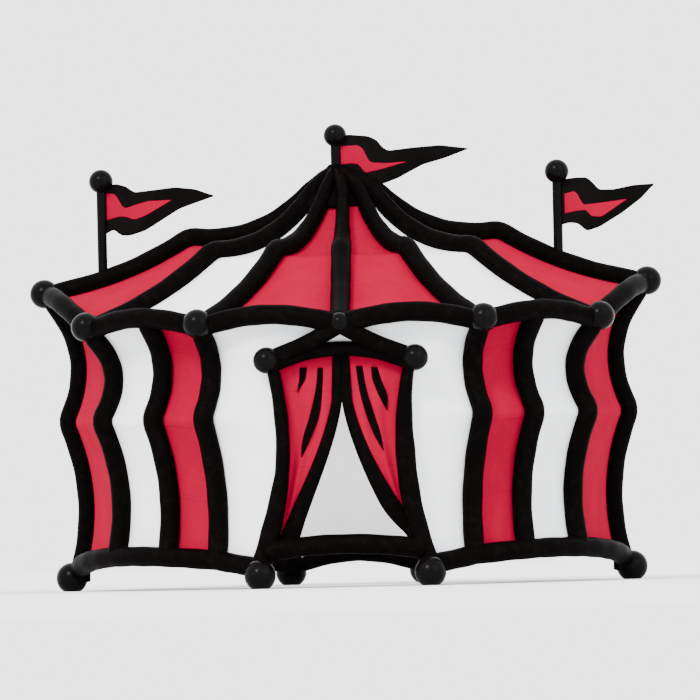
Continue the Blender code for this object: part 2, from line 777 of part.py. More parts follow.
def add_curtains(red):
    """Two red curtains that hang behind the header and sweep out to the feet of the posts."""
    middle = HEADER_COLUMNS // 2
    for side in (-1, 1):
        name = "curtain_left" if side < 0 else "curtain_right"
        heads = header_line()[0][middle:] * (side, 1.0, 1.0)
        heads[0, 0] = side * curtain_inner_x(HEADER_MID_Z)
        heads[:, 2] -= 2 * SEAM_INSET
        post = door_post_line(side)[0]
        heights = [heads[-1, 2], *post[1:-1, 2], CURTAIN_HEM_Z]
        outer_x = np.interp(heights, post[::-1, 2], post[::-1, 0])
        outer = np.array([(x, DOOR_PLANE_Y, z) for x, z in zip(outer_x, heights)])
        inner = np.array([(side * curtain_inner_x(z), DOOR_PLANE_Y, z) for z in heights])
        outer[0], inner[0] = heads[-1], heads[0]
        share = np.linspace(0.0, 1.0, len(heads))[:, None]
        hem = inner[-1] + (outer[-1] - inner[-1]) * share
        lines = [(points, np.tile((0.0, 1.0, 0.0), (len(points), 1))) for points in (inner, outer, heads, hem)]
        add_canvas(name, *lines, red)


# Masts and flags.


def add_side_mast(side, black):
    """A flag mast that stands on the side rib."""
    name = "side_mast_left" if side < 0 else "side_mast_right"
    rib, _ = roof_line(side * 90.0)
    mast_x = SIDE_MAST_X[side]
    foot_z = float(np.interp(abs(mast_x), np.abs(rib[:, 0]), rib[:, 2])) + TUBE_RADIUS
    centre = (mast_x, 0.0)
    mast = turned_mesh(name, [(MAST_RADIUS, foot_z), (MAST_RADIUS, SIDE_MAST_BALL_Z)], centre, MAST_SIDES)
    ball = ball_mesh(name + "_ball", np.array((*centre, SIDE_MAST_BALL_Z)), SIDE_BALL_RADIUS)
    cutters = [tube_mesh("rib_cutter", side_rib_line(side), TUBE_RADIUS, GAP)]
    add_fused(name, [mast, ball], black, cutters)


# Each flag's upper and lower edge, from hoist to tip: (distance from the mast's axis, height).
MIDDLE_FLAG = (
    ((0.08, 7.25), (0.24, 7.5), (0.55, 7.48), (0.7, 7.41), (0.78, 7.29), (0.88, 7.23), (1.75, 7.3), (2.2, 7.24)),
    ((0.08, 7.08), (0.22, 6.97), (0.5, 6.78), (0.75, 6.7), (1.04, 6.79), (1.45, 6.98), (1.82, 7.08), (2.2, 7.22)),
)
LEFT_FLAG = (
    ((0.08, 6.57), (0.25, 6.78), (0.42, 6.73), (0.55, 6.63), (1.24, 6.7), (1.57, 6.66), (1.87, 6.55)),
    ((0.08, 5.95), (0.2, 6.02), (0.32, 5.91), (0.48, 5.91), (0.73, 5.99), (1.31, 6.34), (1.87, 6.53)),
)
RIGHT_FLAG = (
    ((0.08, 6.57), (0.3, 6.71), (0.5, 6.71), (0.6, 6.62), (0.7, 6.5), (0.95, 6.5), (1.61, 6.58)),
    ((0.08, 5.93), (0.2, 5.96), (0.34, 5.94), (0.48, 5.81), (0.7, 5.88), (1.09, 6.11), (1.4, 6.34), (1.61, 6.56)),
)


def add_flag(name, mast_x, edges, red):
    """A pennant that flies towards +X, a waved sheet between its two edges."""
    reach = edges[0][-1][0]
    hoist = MAST_RADIUS * math.cos(math.pi / MAST_SIDES) + GAP
    distances = np.linspace(hoist, reach, FLAG_COLUMNS + 1)
    share = (distances - hoist) / (reach - hoist)
    sway = FLAG_WAVE * np.sin(share * 2 * math.pi) * share
    upper, lower = (np.interp(distances, *zip(*edge)) for edge in edges)
    share_down = np.linspace(0.0, 1.0, FLAG_ROWS)[:, None]
    heights = upper + (lower - upper) * share_down
    middle = np.stack(np.broadcast_arrays(mast_x + distances, sway, heights), axis=-1)
    half = np.array((0.0, FLAG_THICKNESS / 2, 0.0))
    return add_object(name, slab_mesh(name, middle - half, middle + half), red)


def main():
    clear_scene()
    red = make_material("red_canvas", RED, RED_ROUGHNESS)
    white = make_material("white_canvas", WHITE, WHITE_ROUGHNESS)
    black = make_material("black_vinyl", BLACK, BLACK_ROUGHNESS)
    add_crown(black)
    add_ribs(black)
    for side in (-1, 1):
        add_side_post(side, black)
        add_side_mast(side, black)
        for back in (False, True):
            add_wall_frame(side, back, black)
    add_door_frame(black)
    add_back_frame(black)
    add_roof_panels(red, white)
    add_wall_stripes(red, white)
    add_door_walls(white)
    add_gable_panel(white)
    add_back_wall(white)
    add_curtains(red)
    add_flag("flag_middle", CROWN_X, MIDDLE_FLAG, red)
    add_flag("flag_left", SIDE_MAST_X[-1], LEFT_FLAG, red)
    add_flag("flag_right", SIDE_MAST_X[1], RIGHT_FLAG, red)


main()
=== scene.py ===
"""Looks of a small circus big top: striped canvas on a padded cage, a curtained doorway and three pennants.

The tent stands on the plane z = 0 with its doorway towards -Y. Its canvas is one surface of two parameters, a plan
angle and a step down the outline from crown to hem, and every sleeve, ball and seam is placed from that surface.
"""

from __future__ import annotations

import logging
import math
from collections.abc import Mapping, Sequence
from dataclasses import dataclass, field
from enum import Enum
from typing import Any

import bpy
import numpy as np
from mathutils import Matrix, Vector

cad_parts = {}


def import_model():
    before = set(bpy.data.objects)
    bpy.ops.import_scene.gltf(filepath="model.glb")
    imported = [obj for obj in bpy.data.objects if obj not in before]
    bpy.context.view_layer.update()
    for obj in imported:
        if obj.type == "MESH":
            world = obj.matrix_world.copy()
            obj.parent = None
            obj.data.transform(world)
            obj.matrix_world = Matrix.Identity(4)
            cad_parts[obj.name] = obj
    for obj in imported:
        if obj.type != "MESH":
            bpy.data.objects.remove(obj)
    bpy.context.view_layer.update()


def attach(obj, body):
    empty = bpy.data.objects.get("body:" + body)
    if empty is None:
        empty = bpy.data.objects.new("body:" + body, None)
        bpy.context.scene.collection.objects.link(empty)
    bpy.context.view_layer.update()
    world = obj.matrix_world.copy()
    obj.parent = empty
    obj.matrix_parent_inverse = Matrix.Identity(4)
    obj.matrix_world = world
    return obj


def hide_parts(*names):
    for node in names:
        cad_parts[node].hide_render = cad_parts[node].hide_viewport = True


Array = np.ndarray
Colour = tuple[float, float, float, float]
Line = tuple[tuple[float, float], ...]
Material = bpy.types.Material
Piece = bpy.types.Object

log = logging.getLogger("big_top")

ROOT_BODY = "root"
CLOTH = 0.006
HEM_STEP = 3.999
BALL_END = 88.0
BALL_RINGS = 31


class Slot(Enum):
    """The record's material slots."""

    BLACK = "black_vinyl"
    RED = "red_canvas"
    WHITE = "white_canvas"


class Side(Enum):
    """Left or right as seen from the front, with the sign of X there."""

    LEFT = -1
    RIGHT = 1

    @property
    def word(self) -> str:
        """The side's word in a piece's name."""
        return self.name.lower()


class Face(Enum):
    """The half of the tent with the doorway, or the closed half."""

    FRONT = "front"
    BACK = "back"


def plan_angle(face: Face, side: Side, quarter: Any) -> Any:
    """Args: face, side: which quarter of the tent. quarter: degrees, 0 to 90. Returns: the plan angle there."""
    return side.value * (quarter if face is Face.FRONT else 180.0 - quarter)


Bay = tuple[str, str, float, float, Slot]


def in_all_quarters(bays: Sequence[tuple[str, float, float, Slot]]) -> list[Bay]:
    """The bays of one quarter repeated in all four.

    Args:
        bays: each one's name, its two angles in the quarter and its colour.

    Returns:
        Each one's quarter and name, as in piece names, its two plan angles and its colour.
    """
    found = []
    for face in Face:
        for side in Side:
            for name, first, last, colour in bays:
                ends = (plan_angle(face, side, quarter) for quarter in (first, last))
                found.append((f"{face.value}_{side.word}", name, *ends, colour))
    return found


# Shader sums.


class Wire:
    """A shader socket that joins others by plain arithmetic; each sum adds one Math node."""

    def __init__(self, bench: ShaderBench, socket: Any) -> None:
        """Args: bench: the material under way. socket: the output socket that carries the value."""
        self.bench = bench
        self.socket = socket

    def _sum(self, operation: str, first: Any, second: Any) -> Wire:
        """Args: operation: the Math node's setting. first, second: wires or numbers. Returns: the result's wire."""
        return self.bench.node("ShaderNodeMath", {"operation": operation}, {0: first, 1: second}).out("Value")

    def __add__(self, other: Any) -> Wire:
        """This plus other."""
        return self._sum("ADD", self, other)

    def __radd__(self, other: Any) -> Wire:
        """Other plus this."""
        return self._sum("ADD", other, self)

    def __sub__(self, other: Any) -> Wire:
        """This less other."""
        return self._sum("SUBTRACT", self, other)

    def __mul__(self, other: Any) -> Wire:
        """This times other."""
        return self._sum("MULTIPLY", self, other)

    def __mod__(self, other: Any) -> Wire:
        """What is left of this after whole steps of other, never negative."""
        return self._sum("FLOORED_MODULO", self, other)

    def __lt__(self, other: Any) -> Wire:
        """1 where this is under other, else 0."""
        return self._sum("LESS_THAN", self, other)

    def __abs__(self) -> Wire:
        """This without its sign."""
        return self._sum("ABSOLUTE", self, 0.0)

    def sine(self) -> Wire:
        """The sine of this, in radians."""
        return self._sum("SINE", self, 0.0)

    def ramp(self, low: float, high: float) -> Wire:
        """Args: low, high: the values that become 0 and 1. Returns: this eased between them."""
        settings = {"interpolation_type": "SMOOTHSTEP"}
        inputs = {"Value": self, "From Min": low, "From Max": high}
        return self.bench.node("ShaderNodeMapRange", settings, inputs).out("Result")


class Placed:
    """A node that stands on the bench."""

    def __init__(self, bench: ShaderBench, raw: Any) -> None:
        """Args: bench: the material under way. raw: the node."""
        self.bench = bench
        self.raw = raw

    def out(self, name: str | int) -> Wire:
        """The wire of one output, by name or number."""
        return Wire(self.bench, self.raw.outputs[name])


class ShaderBench:
    """One material's node tree while it is put together."""

    def __init__(self, name: str) -> None:
        """Args: name: the material's name."""
        self.material = bpy.data.materials.new(name)
        self.material.use_nodes = True
        self.tree = self.material.node_tree
        self.tree.nodes.clear()

    def node(self, kind: str, settings: dict[str, Any] | None = None, inputs: dict[Any, Any] | None = None) -> Placed:
        """Adds any node.

        Args:
            kind: the node's type.
            settings: its own settings, set before its sockets; "stops" are a ramp's (place, colour) pairs.
            inputs: values or wires of its sockets, by name or number.

        Returns:
            The node, placed.
        """
        raw = self.tree.nodes.new(kind)
        for key, value in (settings or {}).items():
            if key == "stops":
                self._set_stops(raw.color_ramp, value)
            else:
                setattr(raw, key, value)
        for key, value in (inputs or {}).items():
            if isinstance(value, Wire):
                self.tree.links.new(value.socket, raw.inputs[key])
            else:
                raw.inputs[key].default_value = value
        return Placed(self, raw)

    @staticmethod
    def _set_stops(ramp: Any, stops: Sequence[tuple[float, tuple[float, ...]]]) -> None:
        """Args: ramp: a colour ramp. stops: (place, colour) pairs in order."""
        while len(ramp.elements) < len(stops):
            ramp.elements.new(1.0)
        for element, (place, colour) in zip(ramp.elements, stops):
            element.position, element.color = place, colour

    def blend(self, factor: Any, first: Any, second: Any) -> Wire:
        """Args: factor: 0 for first, 1 for second. first, second: colours or wires. Returns: the colour's wire."""
        inputs = {0: factor, 6: first, 7: second}
        return self.node("ShaderNodeMix", {"data_type": "RGBA"}, inputs).out(2)

    def cloth_metres(self) -> tuple[Wire, Wire, Wire]:
        """The surface's own measure: its vector, and the metres across and along it."""
        uv = self.node("ShaderNodeUVMap", {"uv_map": "metres"}).out("UV")
        split = self.node("ShaderNodeSeparateXYZ", None, {"Vector": uv})
        return uv, split.out("X"), split.out("Y")

    def place(self) -> Wire:
        """The point's place in metres."""
        return self.node("ShaderNodeTexCoord").out("Object")

    def stretched(self, vector: Wire, scale: tuple[float, float, float]) -> Wire:
        """Args: vector: a place. scale: how much each axis grows. Returns: the scaled place."""
        settings = {"operation": "MULTIPLY"}
        return self.node("ShaderNodeVectorMath", settings, {0: vector, 1: scale}).out("Vector")

    def noise(self, vector: Wire, scale: float, detail: float = 2.0, roughness: float = 0.5) -> Wire:
        """Args: vector: where. scale: bumps to a metre. detail, roughness: as the node's. Returns: 0 to 1."""
        inputs = {"Vector": vector, "Scale": scale, "Detail": detail, "Roughness": roughness}
        return self.node("ShaderNodeTexNoise", None, inputs).out("Fac")

    def bump(self, height: Wire, distance: float, strength: float = 1.0, under: Wire | None = None) -> Wire:
        """Args: height: 0 to 1. distance: metres. strength: its share. under: a normal below. Returns: the normal."""
        inputs: dict[Any, Any] = {"Height": height, "Distance": distance, "Strength": strength}
        if under is not None:
            inputs["Normal"] = under
        return self.node("ShaderNodeBump", None, inputs).out("Normal")

    def finish(self, sockets: dict[str, Any]) -> Material:
        """Args: sockets: the shader's values and wires. Returns: the finished material."""
        shader = self.node("ShaderNodeBsdfPrincipled", None, sockets).out("BSDF")
        self.node("ShaderNodeOutputMaterial", None, {"Surface": shader})
        return self.material


# Finishes.


def grey(level: float) -> Colour:
    """Args: level: linear brightness. Returns: the neutral colour."""
    return (level, level, level, 1.0)


@dataclass(frozen=True)
class CanvasFinish:
    """Coated tent canvas: a plain weave, welded widths, faint weathering and stitched edges."""

    name: str
    colour: Colour
    shade: Colour
    roughness: float = 0.5
    width_pitch: float = 1.25
    weave_pitch: float = 0.006
    stitch_in: float = 0.035
    stitch_length: float = 0.012
    gloss: float = 0.2

    def material(self) -> Material:
        """The canvas as a material on the cloth's own metres."""
        bench = ShaderBench(self.name)
        uv, across, along = bench.cloth_metres()
        edge = bench.node("ShaderNodeAttribute", {"attribute_name": "edge"}).out("Fac")
        blotches = bench.noise(bench.stretched(uv, (1.0, 0.6, 1.0)), 1.3, 4.0, 0.6)
        fine = bench.noise(uv, 40.0, 3.0, 0.6)
        weld = abs((along % self.width_pitch) - self.width_pitch / 2).ramp(0.022, 0.012)
        stitch_run = (along % self.stitch_length < self.stitch_length * 0.62)
        rows = abs(edge - self.stitch_in).ramp(0.004, 0.0015) * stitch_run
        lap = edge.ramp(0.05, 0.045)
        colour = bench.blend(blotches.ramp(0.35, 0.7) * 0.55, self.colour, self.shade)
        colour = bench.blend(fine.ramp(0.45, 0.75) * 0.18, colour, self.shade)
        colour = bench.blend(weld * 0.12 + rows * 0.35 + lap * 0.08, colour, self.shade)
        turns = 2 * math.pi / self.weave_pitch
        weave = (across * turns).sine() * (along * turns).sine()
        creases = bench.noise(bench.stretched(uv, (2.2, 0.5, 1.0)), 1.6, 3.0, 0.5)
        normal = bench.bump(weave * 0.5 + 0.5, 0.0006, 0.5)
        normal = bench.bump(creases, 0.05, 0.35, normal)
        normal = bench.bump(weld + lap - rows * 0.6, 0.004, 0.8, normal)
        roughness = fine * 0.12 + (self.roughness - 0.06) - weld * 0.06
        return bench.finish(
            {"Base Color": colour, "Roughness": roughness, "Normal": normal, "Specular IOR Level": self.gloss}
        )


@dataclass(frozen=True)
class VinylFinish:
    """Padded black vinyl: a fine leather grain, a stitched closing seam, soft puckers beside it, and painted sheen:
    brownish specks and patches that stand in for glints of light.
    """

    name: str
    colour: Colour
    # Brownish tone: painted sheen in the specks and patches, and the colour of the stitches' thread.
    worn: Colour
    roughness: float = 0.42
    grains: float = 110.0
    seam_half: float = 0.006
    stitch_out: float = 0.014
    stitch_length: float = 0.014
    gloss: float = 0.004

    def material(self) -> Material:
        """The vinyl as a material on the sleeve's own metres."""
        bench = ShaderBench(self.name)
        uv, across, along = bench.cloth_metres()
        place = bench.place()
        cells = {"Vector": place, "Scale": self.grains}
        voronoi = bench.node("ShaderNodeTexVoronoi", {"feature": "DISTANCE_TO_EDGE"}, cells)
        grain = voronoi.out("Distance").ramp(0.0, 0.35)
        mottle = bench.noise(place, 7.0, 5.0, 0.65)
        # Painted sheen: brownish specks that stand in for glints of light on the vinyl.
        painted_sheen_specks = bench.noise(place, 60.0, 2.0, 0.7)
        from_seam = abs(across)
        seam = from_seam.ramp(self.seam_half, self.seam_half / 3)
        stitch_run = along % self.stitch_length < self.stitch_length * 0.6
        stitch = abs(from_seam - self.stitch_out).ramp(0.004, 0.002) * stitch_run
        pucker = bench.noise(bench.stretched(uv, (1.5, 14.0, 1.0)), 1.0, 3.0, 0.5)
        # Painted sheen: broad patches lighten towards the brownish tone; the same patches vary the roughness.
        colour = bench.blend(mottle.ramp(0.45, 0.75) * 0.5, self.colour, self.worn)
        colour = bench.blend(painted_sheen_specks.ramp(0.62, 0.75) * 0.45, colour, self.worn)
        colour = bench.blend(stitch * 0.5, colour, self.worn)
        normal = bench.bump(grain, 0.0012, 0.5)
        normal = bench.bump(pucker, 0.02, 0.3, normal)
        normal = bench.bump(stitch * 0.4 - seam, 0.005, 0.8, normal)
        roughness = mottle * 0.25 + (self.roughness - 0.12)
        return bench.finish(
            {"Base Color": colour, "Roughness": roughness, "Normal": normal, "Specular IOR Level": self.gloss}
        )


@dataclass(frozen=True)
class LacquerFinish:
    """Gloss lacquer on the balls and masts, with fine dust and small scuffs."""

    name: str
    colour: Colour
    dust: Colour
    roughness: float = 0.22
    gloss: float = 0.03

    def material(self) -> Material:
        """The lacquer as a material on the piece's place."""
        bench = ShaderBench(self.name)
        place = bench.place()
        dust = bench.noise(place, 18.0, 5.0, 0.7)
        scuffs = bench.noise(bench.stretched(place, (30.0, 30.0, 4.0)), 1.0, 3.0, 0.6)
        ripple = bench.noise(place, 9.0, 1.0, 0.4)
        colour = bench.blend(dust.ramp(0.5, 0.8) * 0.35, self.colour, self.dust)
        roughness = self.roughness + dust.ramp(0.45, 0.8) * 0.15 + scuffs.ramp(0.6, 0.75) * 0.12
        normal = bench.bump(ripple, 0.006, 0.25)
        return bench.finish(
            {"Base Color": colour, "Roughness": roughness, "Normal": normal, "Specular IOR Level": self.gloss}
        )


@dataclass(frozen=True)
class FloorFinish:
    """A plain pale floor."""

    name: str = "pale_floor"
    colour: Colour = (0.82, 0.82, 0.82, 1.0)

    def material(self) -> Material:
        """The floor as a material with a barely visible mottle."""
        bench = ShaderBench(self.name)
        mottle = bench.noise(bench.place(), 0.4, 2.0)
        colour = bench.blend(mottle * 0.04, self.colour, grey(0.6))
        return bench.finish({"Base Color": colour, "Roughness": 0.9})


class Finishes:
    """Each finish made once and shared by the pieces that wear it."""

    def __init__(self) -> None:
        """Makes every material of the tent."""
        red, red_shade = (0.25, 0.0003, 0.0185, 1.0), (0.195, 0.0002, 0.0145, 1.0)
        white, white_shade = (0.86, 0.87, 0.89, 1.0), (0.77, 0.785, 0.82, 1.0)
        # The second colour is the vinyl's painted brownish sheen and also the lacquer's dust.
        black, worn = (0.0014, 0.001, 0.001, 1.0), (0.0042, 0.0032, 0.003, 1.0)
        flag, flag_shade = (0.002, 0.0015, 0.0015, 1.0), (0.005, 0.004, 0.004, 1.0)
        self.red = CanvasFinish("red_tent_canvas", red, red_shade, 0.6, gloss=0.002).material()
        self.white = CanvasFinish("white_tent_canvas", white, white_shade, 0.55).material()
        self.vinyl = VinylFinish("black_padded_vinyl", black, worn).material()
        self.lacquer = LacquerFinish("black_gloss_lacquer", (0.0018, 0.0015, 0.0015, 1.0), worn).material()
        self.flag_cloth = CanvasFinish("black_flag_cloth", flag, flag_shade, 0.65, gloss=0.01).material()
        self.floor = FloorFinish().material()

    def slot_of(self, material: Material) -> Slot:
        """Args: material: one of these. Returns: the record's slot that it shows."""
        return {self.red: Slot.RED, self.white: Slot.WHITE}.get(material, Slot.BLACK)


# Shells: points and faces worked out as arrays.


@dataclass
class Shell:
    """A mesh as arrays: points, faces of four and of three corners, and the cloth's metres at each corner."""

    points: Array
    quads: Array = field(default_factory=lambda: np.zeros((0, 4), int))
    quad_uv: Array = field(default_factory=lambda: np.zeros((0, 4, 2)))
    tris: Array = field(default_factory=lambda: np.zeros((0, 3), int))
    tri_uv: Array = field(default_factory=lambda: np.zeros((0, 3, 2)))
    edge: Array | None = None
    rim: Array | None = None

    def corners(self) -> list[Array]:
        """The first, second and third corners of every triangle, with each face of four cut in two."""
        tris = np.vstack([self.tris, self.quads[:, :3], self.quads[:, [0, 2, 3]]])
        return [self.points[tris[:, k]] for k in range(3)]

    def volume(self) -> float:
        """The signed volume: a sixth of the sum of each triangle's box product, negative when inside out."""
        a, b, c = self.corners()
        return float(np.einsum("ij,ij->i", a, np.cross(b, c)).sum() / 6)

    def area(self) -> float:
        """The area of all faces."""
        a, b, c = self.corners()
        return float(np.linalg.norm(np.cross(b - a, c - a), axis=1).sum() / 2)

    def outward(self) -> Shell:
        """This shell with its faces turned outwards."""
        if self.volume() >= 0:
            return self
        faces = (part[:, ::-1] for part in (self.quads, self.quad_uv, self.tris, self.tri_uv))
        return Shell(self.points, *faces, self.edge, self.rim)


def joined(shells: Sequence[Shell]) -> Shell:
    """Args: shells: closed shells. Returns: one mesh that holds them all."""
    closed = [shell.outward() for shell in shells]
    starts = np.cumsum([0, *[len(s.points) for s in closed[:-1]]])
    return Shell(
        np.vstack([s.points for s in closed]),
        np.vstack([s.quads + start for s, start in zip(closed, starts)]),
        np.vstack([s.quad_uv for s in closed]),
        np.vstack([s.tris + start for s, start in zip(closed, starts)]),
        np.vstack([s.tri_uv for s in closed]),
    )


def unit(vectors: Array) -> Array:
    """Args: vectors: rows. Returns: each at length one."""
    return vectors / np.maximum(np.linalg.norm(vectors, axis=-1, keepdims=True), 1e-12)


def grid_quads(rows: int, columns: int, wrapped: bool = False) -> Array:
    """Args: rows, columns: points each way. wrapped: joins the last column to the first. Returns: faces of four."""
    row, column = np.meshgrid(np.arange(rows - 1), np.arange(columns if wrapped else columns - 1), indexing="ij")
    after = (column + 1) % columns
    start, below = row * columns, (row + 1) * columns
    corners = (start + column, start + after, below + after, below + column)
    return np.stack(corners, axis=-1).reshape(-1, 4)


def grid_uv(uv: Array) -> Array:
    """Args: uv: metres at each grid point, one column more where the grid is wrapped. Returns: each corner's."""
    corners = (uv[:-1, :-1], uv[:-1, 1:], uv[1:, 1:], uv[1:, :-1])
    return np.stack(corners, axis=-2).reshape(-1, 4, 2)


def run_lengths(points: Array, axis: int) -> Array:
    """Args: points: a grid. axis: the way to run. Returns: the length from the grid's start to each point."""
    steps = np.linalg.norm(np.diff(points, axis=axis), axis=-1)
    return np.insert(np.cumsum(steps, axis=axis), 0, 0.0, axis=axis)


def ring_uv(round_metres: Array, rings: Array) -> Array:
    """Args: round_metres: metres round a ring, its end too. rings: a point of each. Returns: all rings' metres."""
    return np.stack(np.broadcast_arrays(round_metres[None, :], run_lengths(rings, 0)[:, None]), axis=-1)


def grid_normals(points: Array) -> Array:
    """Args: points: a grid. Returns: across times along at each point, at length one."""
    return unit(np.cross(np.gradient(points, axis=1), np.gradient(points, axis=0)))


def cloth_slab(outer: Array, thickness: float, inward: Array | None = None) -> Shell:
    """A sheet of cloth with two faces and a rim: the inner face is the outer one moved inwards by the thickness.

    Args:
        outer: the outer face's grid, rows down and columns across.
        thickness: the cloth's thickness.
        inward: the way in at each point; worked out from the grid if left out.

    Returns:
        The closed sheet, with each point's distance from the nearest side edge.
    """
    rows, columns = outer.shape[:2]
    inward = grid_normals(outer) if inward is None else inward
    across, along = run_lengths(outer, 1), run_lengths(outer, 0)
    across = across - across[:, -1:] / 2
    uv = np.stack([across, along], axis=-1)
    side_edge = np.minimum(across - across[:, :1], across[:, -1:] - across)
    points = np.concatenate([outer.reshape(-1, 3), (outer + inward * thickness).reshape(-1, 3)])
    count = rows * columns
    faces = grid_quads(rows, columns)
    index = np.arange(count).reshape(rows, columns)
    rims, rims_uv = [], []
    for line, flip in ((index[0], False), (index[-1], True), (index[:, 0], True), (index[:, -1], False)):
        line = line[::-1] if flip else line
        rims.append(np.stack([line[:-1], line[:-1] + count, line[1:] + count, line[1:]], axis=-1))
        flat = uv.reshape(-1, 2)
        rims_uv.append(flat[rims[-1] % count])
    quads = np.vstack([faces, faces[:, ::-1] + count, *rims])
    quad_uv = np.vstack([grid_uv(uv), grid_uv(uv)[:, ::-1], *rims_uv])
    rim = np.zeros(len(quads), bool)
    rim[2 * len(faces) :] = True
    edge = np.tile(side_edge.reshape(-1), 2)
    return Shell(points, quads, quad_uv, edge=edge, rim=rim).outward()


def swept_tube(
    centres: Array, outward: Array, radii: Array | float, sides: int = 28, narrowed: Array | float = 1.0
) -> Shell:
    """A round tube: at each centre a circle of the radius there, square to the path, its first point outward.

    Args:
        centres: points along the path.
        outward: a direction at each, away from the canvas.
        radii: one radius, or one at each centre.
        sides: points round the circle.
        narrowed: the share of the radius that the tube keeps sideways, one or one at each centre.

    Returns:
        The tube with a slightly domed closed end at each side.
    """
    along = unit(np.gradient(centres, axis=0))
    across = unit(np.cross(along, outward))
    out = np.cross(across, along)
    turns = np.arange(sides) * 2 * math.pi / sides
    radii = np.broadcast_to(radii, (len(centres),))
    across = across * np.broadcast_to(narrowed, (len(centres),))[:, None]
    ring = out[:, None] * np.cos(turns)[None, :, None] + across[:, None] * np.sin(turns)[None, :, None]
    grid = centres[:, None] + ring * radii[:, None, None]
    uv = ring_uv(np.linspace(-math.pi, math.pi, sides + 1) * float(radii.mean()), centres)
    return capped(grid, uv, centres[0] - along[0] * radii[0] * 0.2, centres[-1] + along[-1] * radii[-1] * 0.2)


def capped(grid: Array, uv: Array, first: Array, last: Array) -> Shell:
    """Args: grid: rings. uv: their metres, a column more. first, last: end points. Returns: the closed shell."""
    rows, columns = grid.shape[:2]
    points = np.vstack([grid.reshape(-1, 3), first, last])
    start = np.arange(columns)
    end = start + (rows - 1) * columns
    fan_first = np.stack([np.roll(start, -1), start, np.full(columns, rows * columns)], axis=-1)
    fan_last = np.stack([end, np.roll(end, -1), np.full(columns, rows * columns + 1)], axis=-1)
    first_uv = np.stack([uv[0, 1:], uv[0, :-1], (uv[0, 1:] + uv[0, :-1]) / 2], axis=1)
    last_uv = np.stack([uv[-1, :-1], uv[-1, 1:], (uv[-1, 1:] + uv[-1, :-1]) / 2], axis=1)
    fans, fans_uv = np.vstack([fan_first, fan_last]), np.vstack([first_uv, last_uv])
    return Shell(points, grid_quads(rows, columns, True), grid_uv(uv), fans, fans_uv).outward()


def turned(radii: Array, heights: Array, centre: Array, sides: int = 48) -> Shell:
    """A turned solid: an outline of radius over height carried round the vertical through centre, closed there.

    Args:
        radii, heights: the outline from one end to the other, its ends off the axis.
        centre: a point on the axis; heights count from its z.
        sides: points round.

    Returns:
        The closed solid.
    """
    turns = np.arange(sides) * 2 * math.pi / sides
    ring = np.stack([np.cos(turns), np.sin(turns), np.zeros(sides)], axis=-1)
    grid = radii[:, None, None] * ring[None] + heights[:, None, None] * np.array((0.0, 0.0, 1.0)) + centre
    round_metres = np.linspace(0.0, 2 * math.pi, sides + 1) * float(radii.max())
    uv = ring_uv(round_metres, np.stack([radii, heights], axis=-1))
    poles = [np.array((centre[0], centre[1], centre[2] + heights[k])) for k in (0, -1)]
    return capped(grid, uv, *poles)


def ball(centre: Array, radius: float, floor: float | None = None) -> Shell:
    """Args: centre, radius: the ball's. floor: a height that flattens its underside. Returns: the ball."""
    lean = np.radians(np.linspace(-BALL_END, BALL_END, BALL_RINGS))
    heights = radius * np.sin(lean)
    if floor is not None:
        heights = np.maximum(heights, floor - centre[2])
    radii = radius * np.cos(lean)
    return turned(radii, heights, np.asarray(centre, float))


# The tent's form.


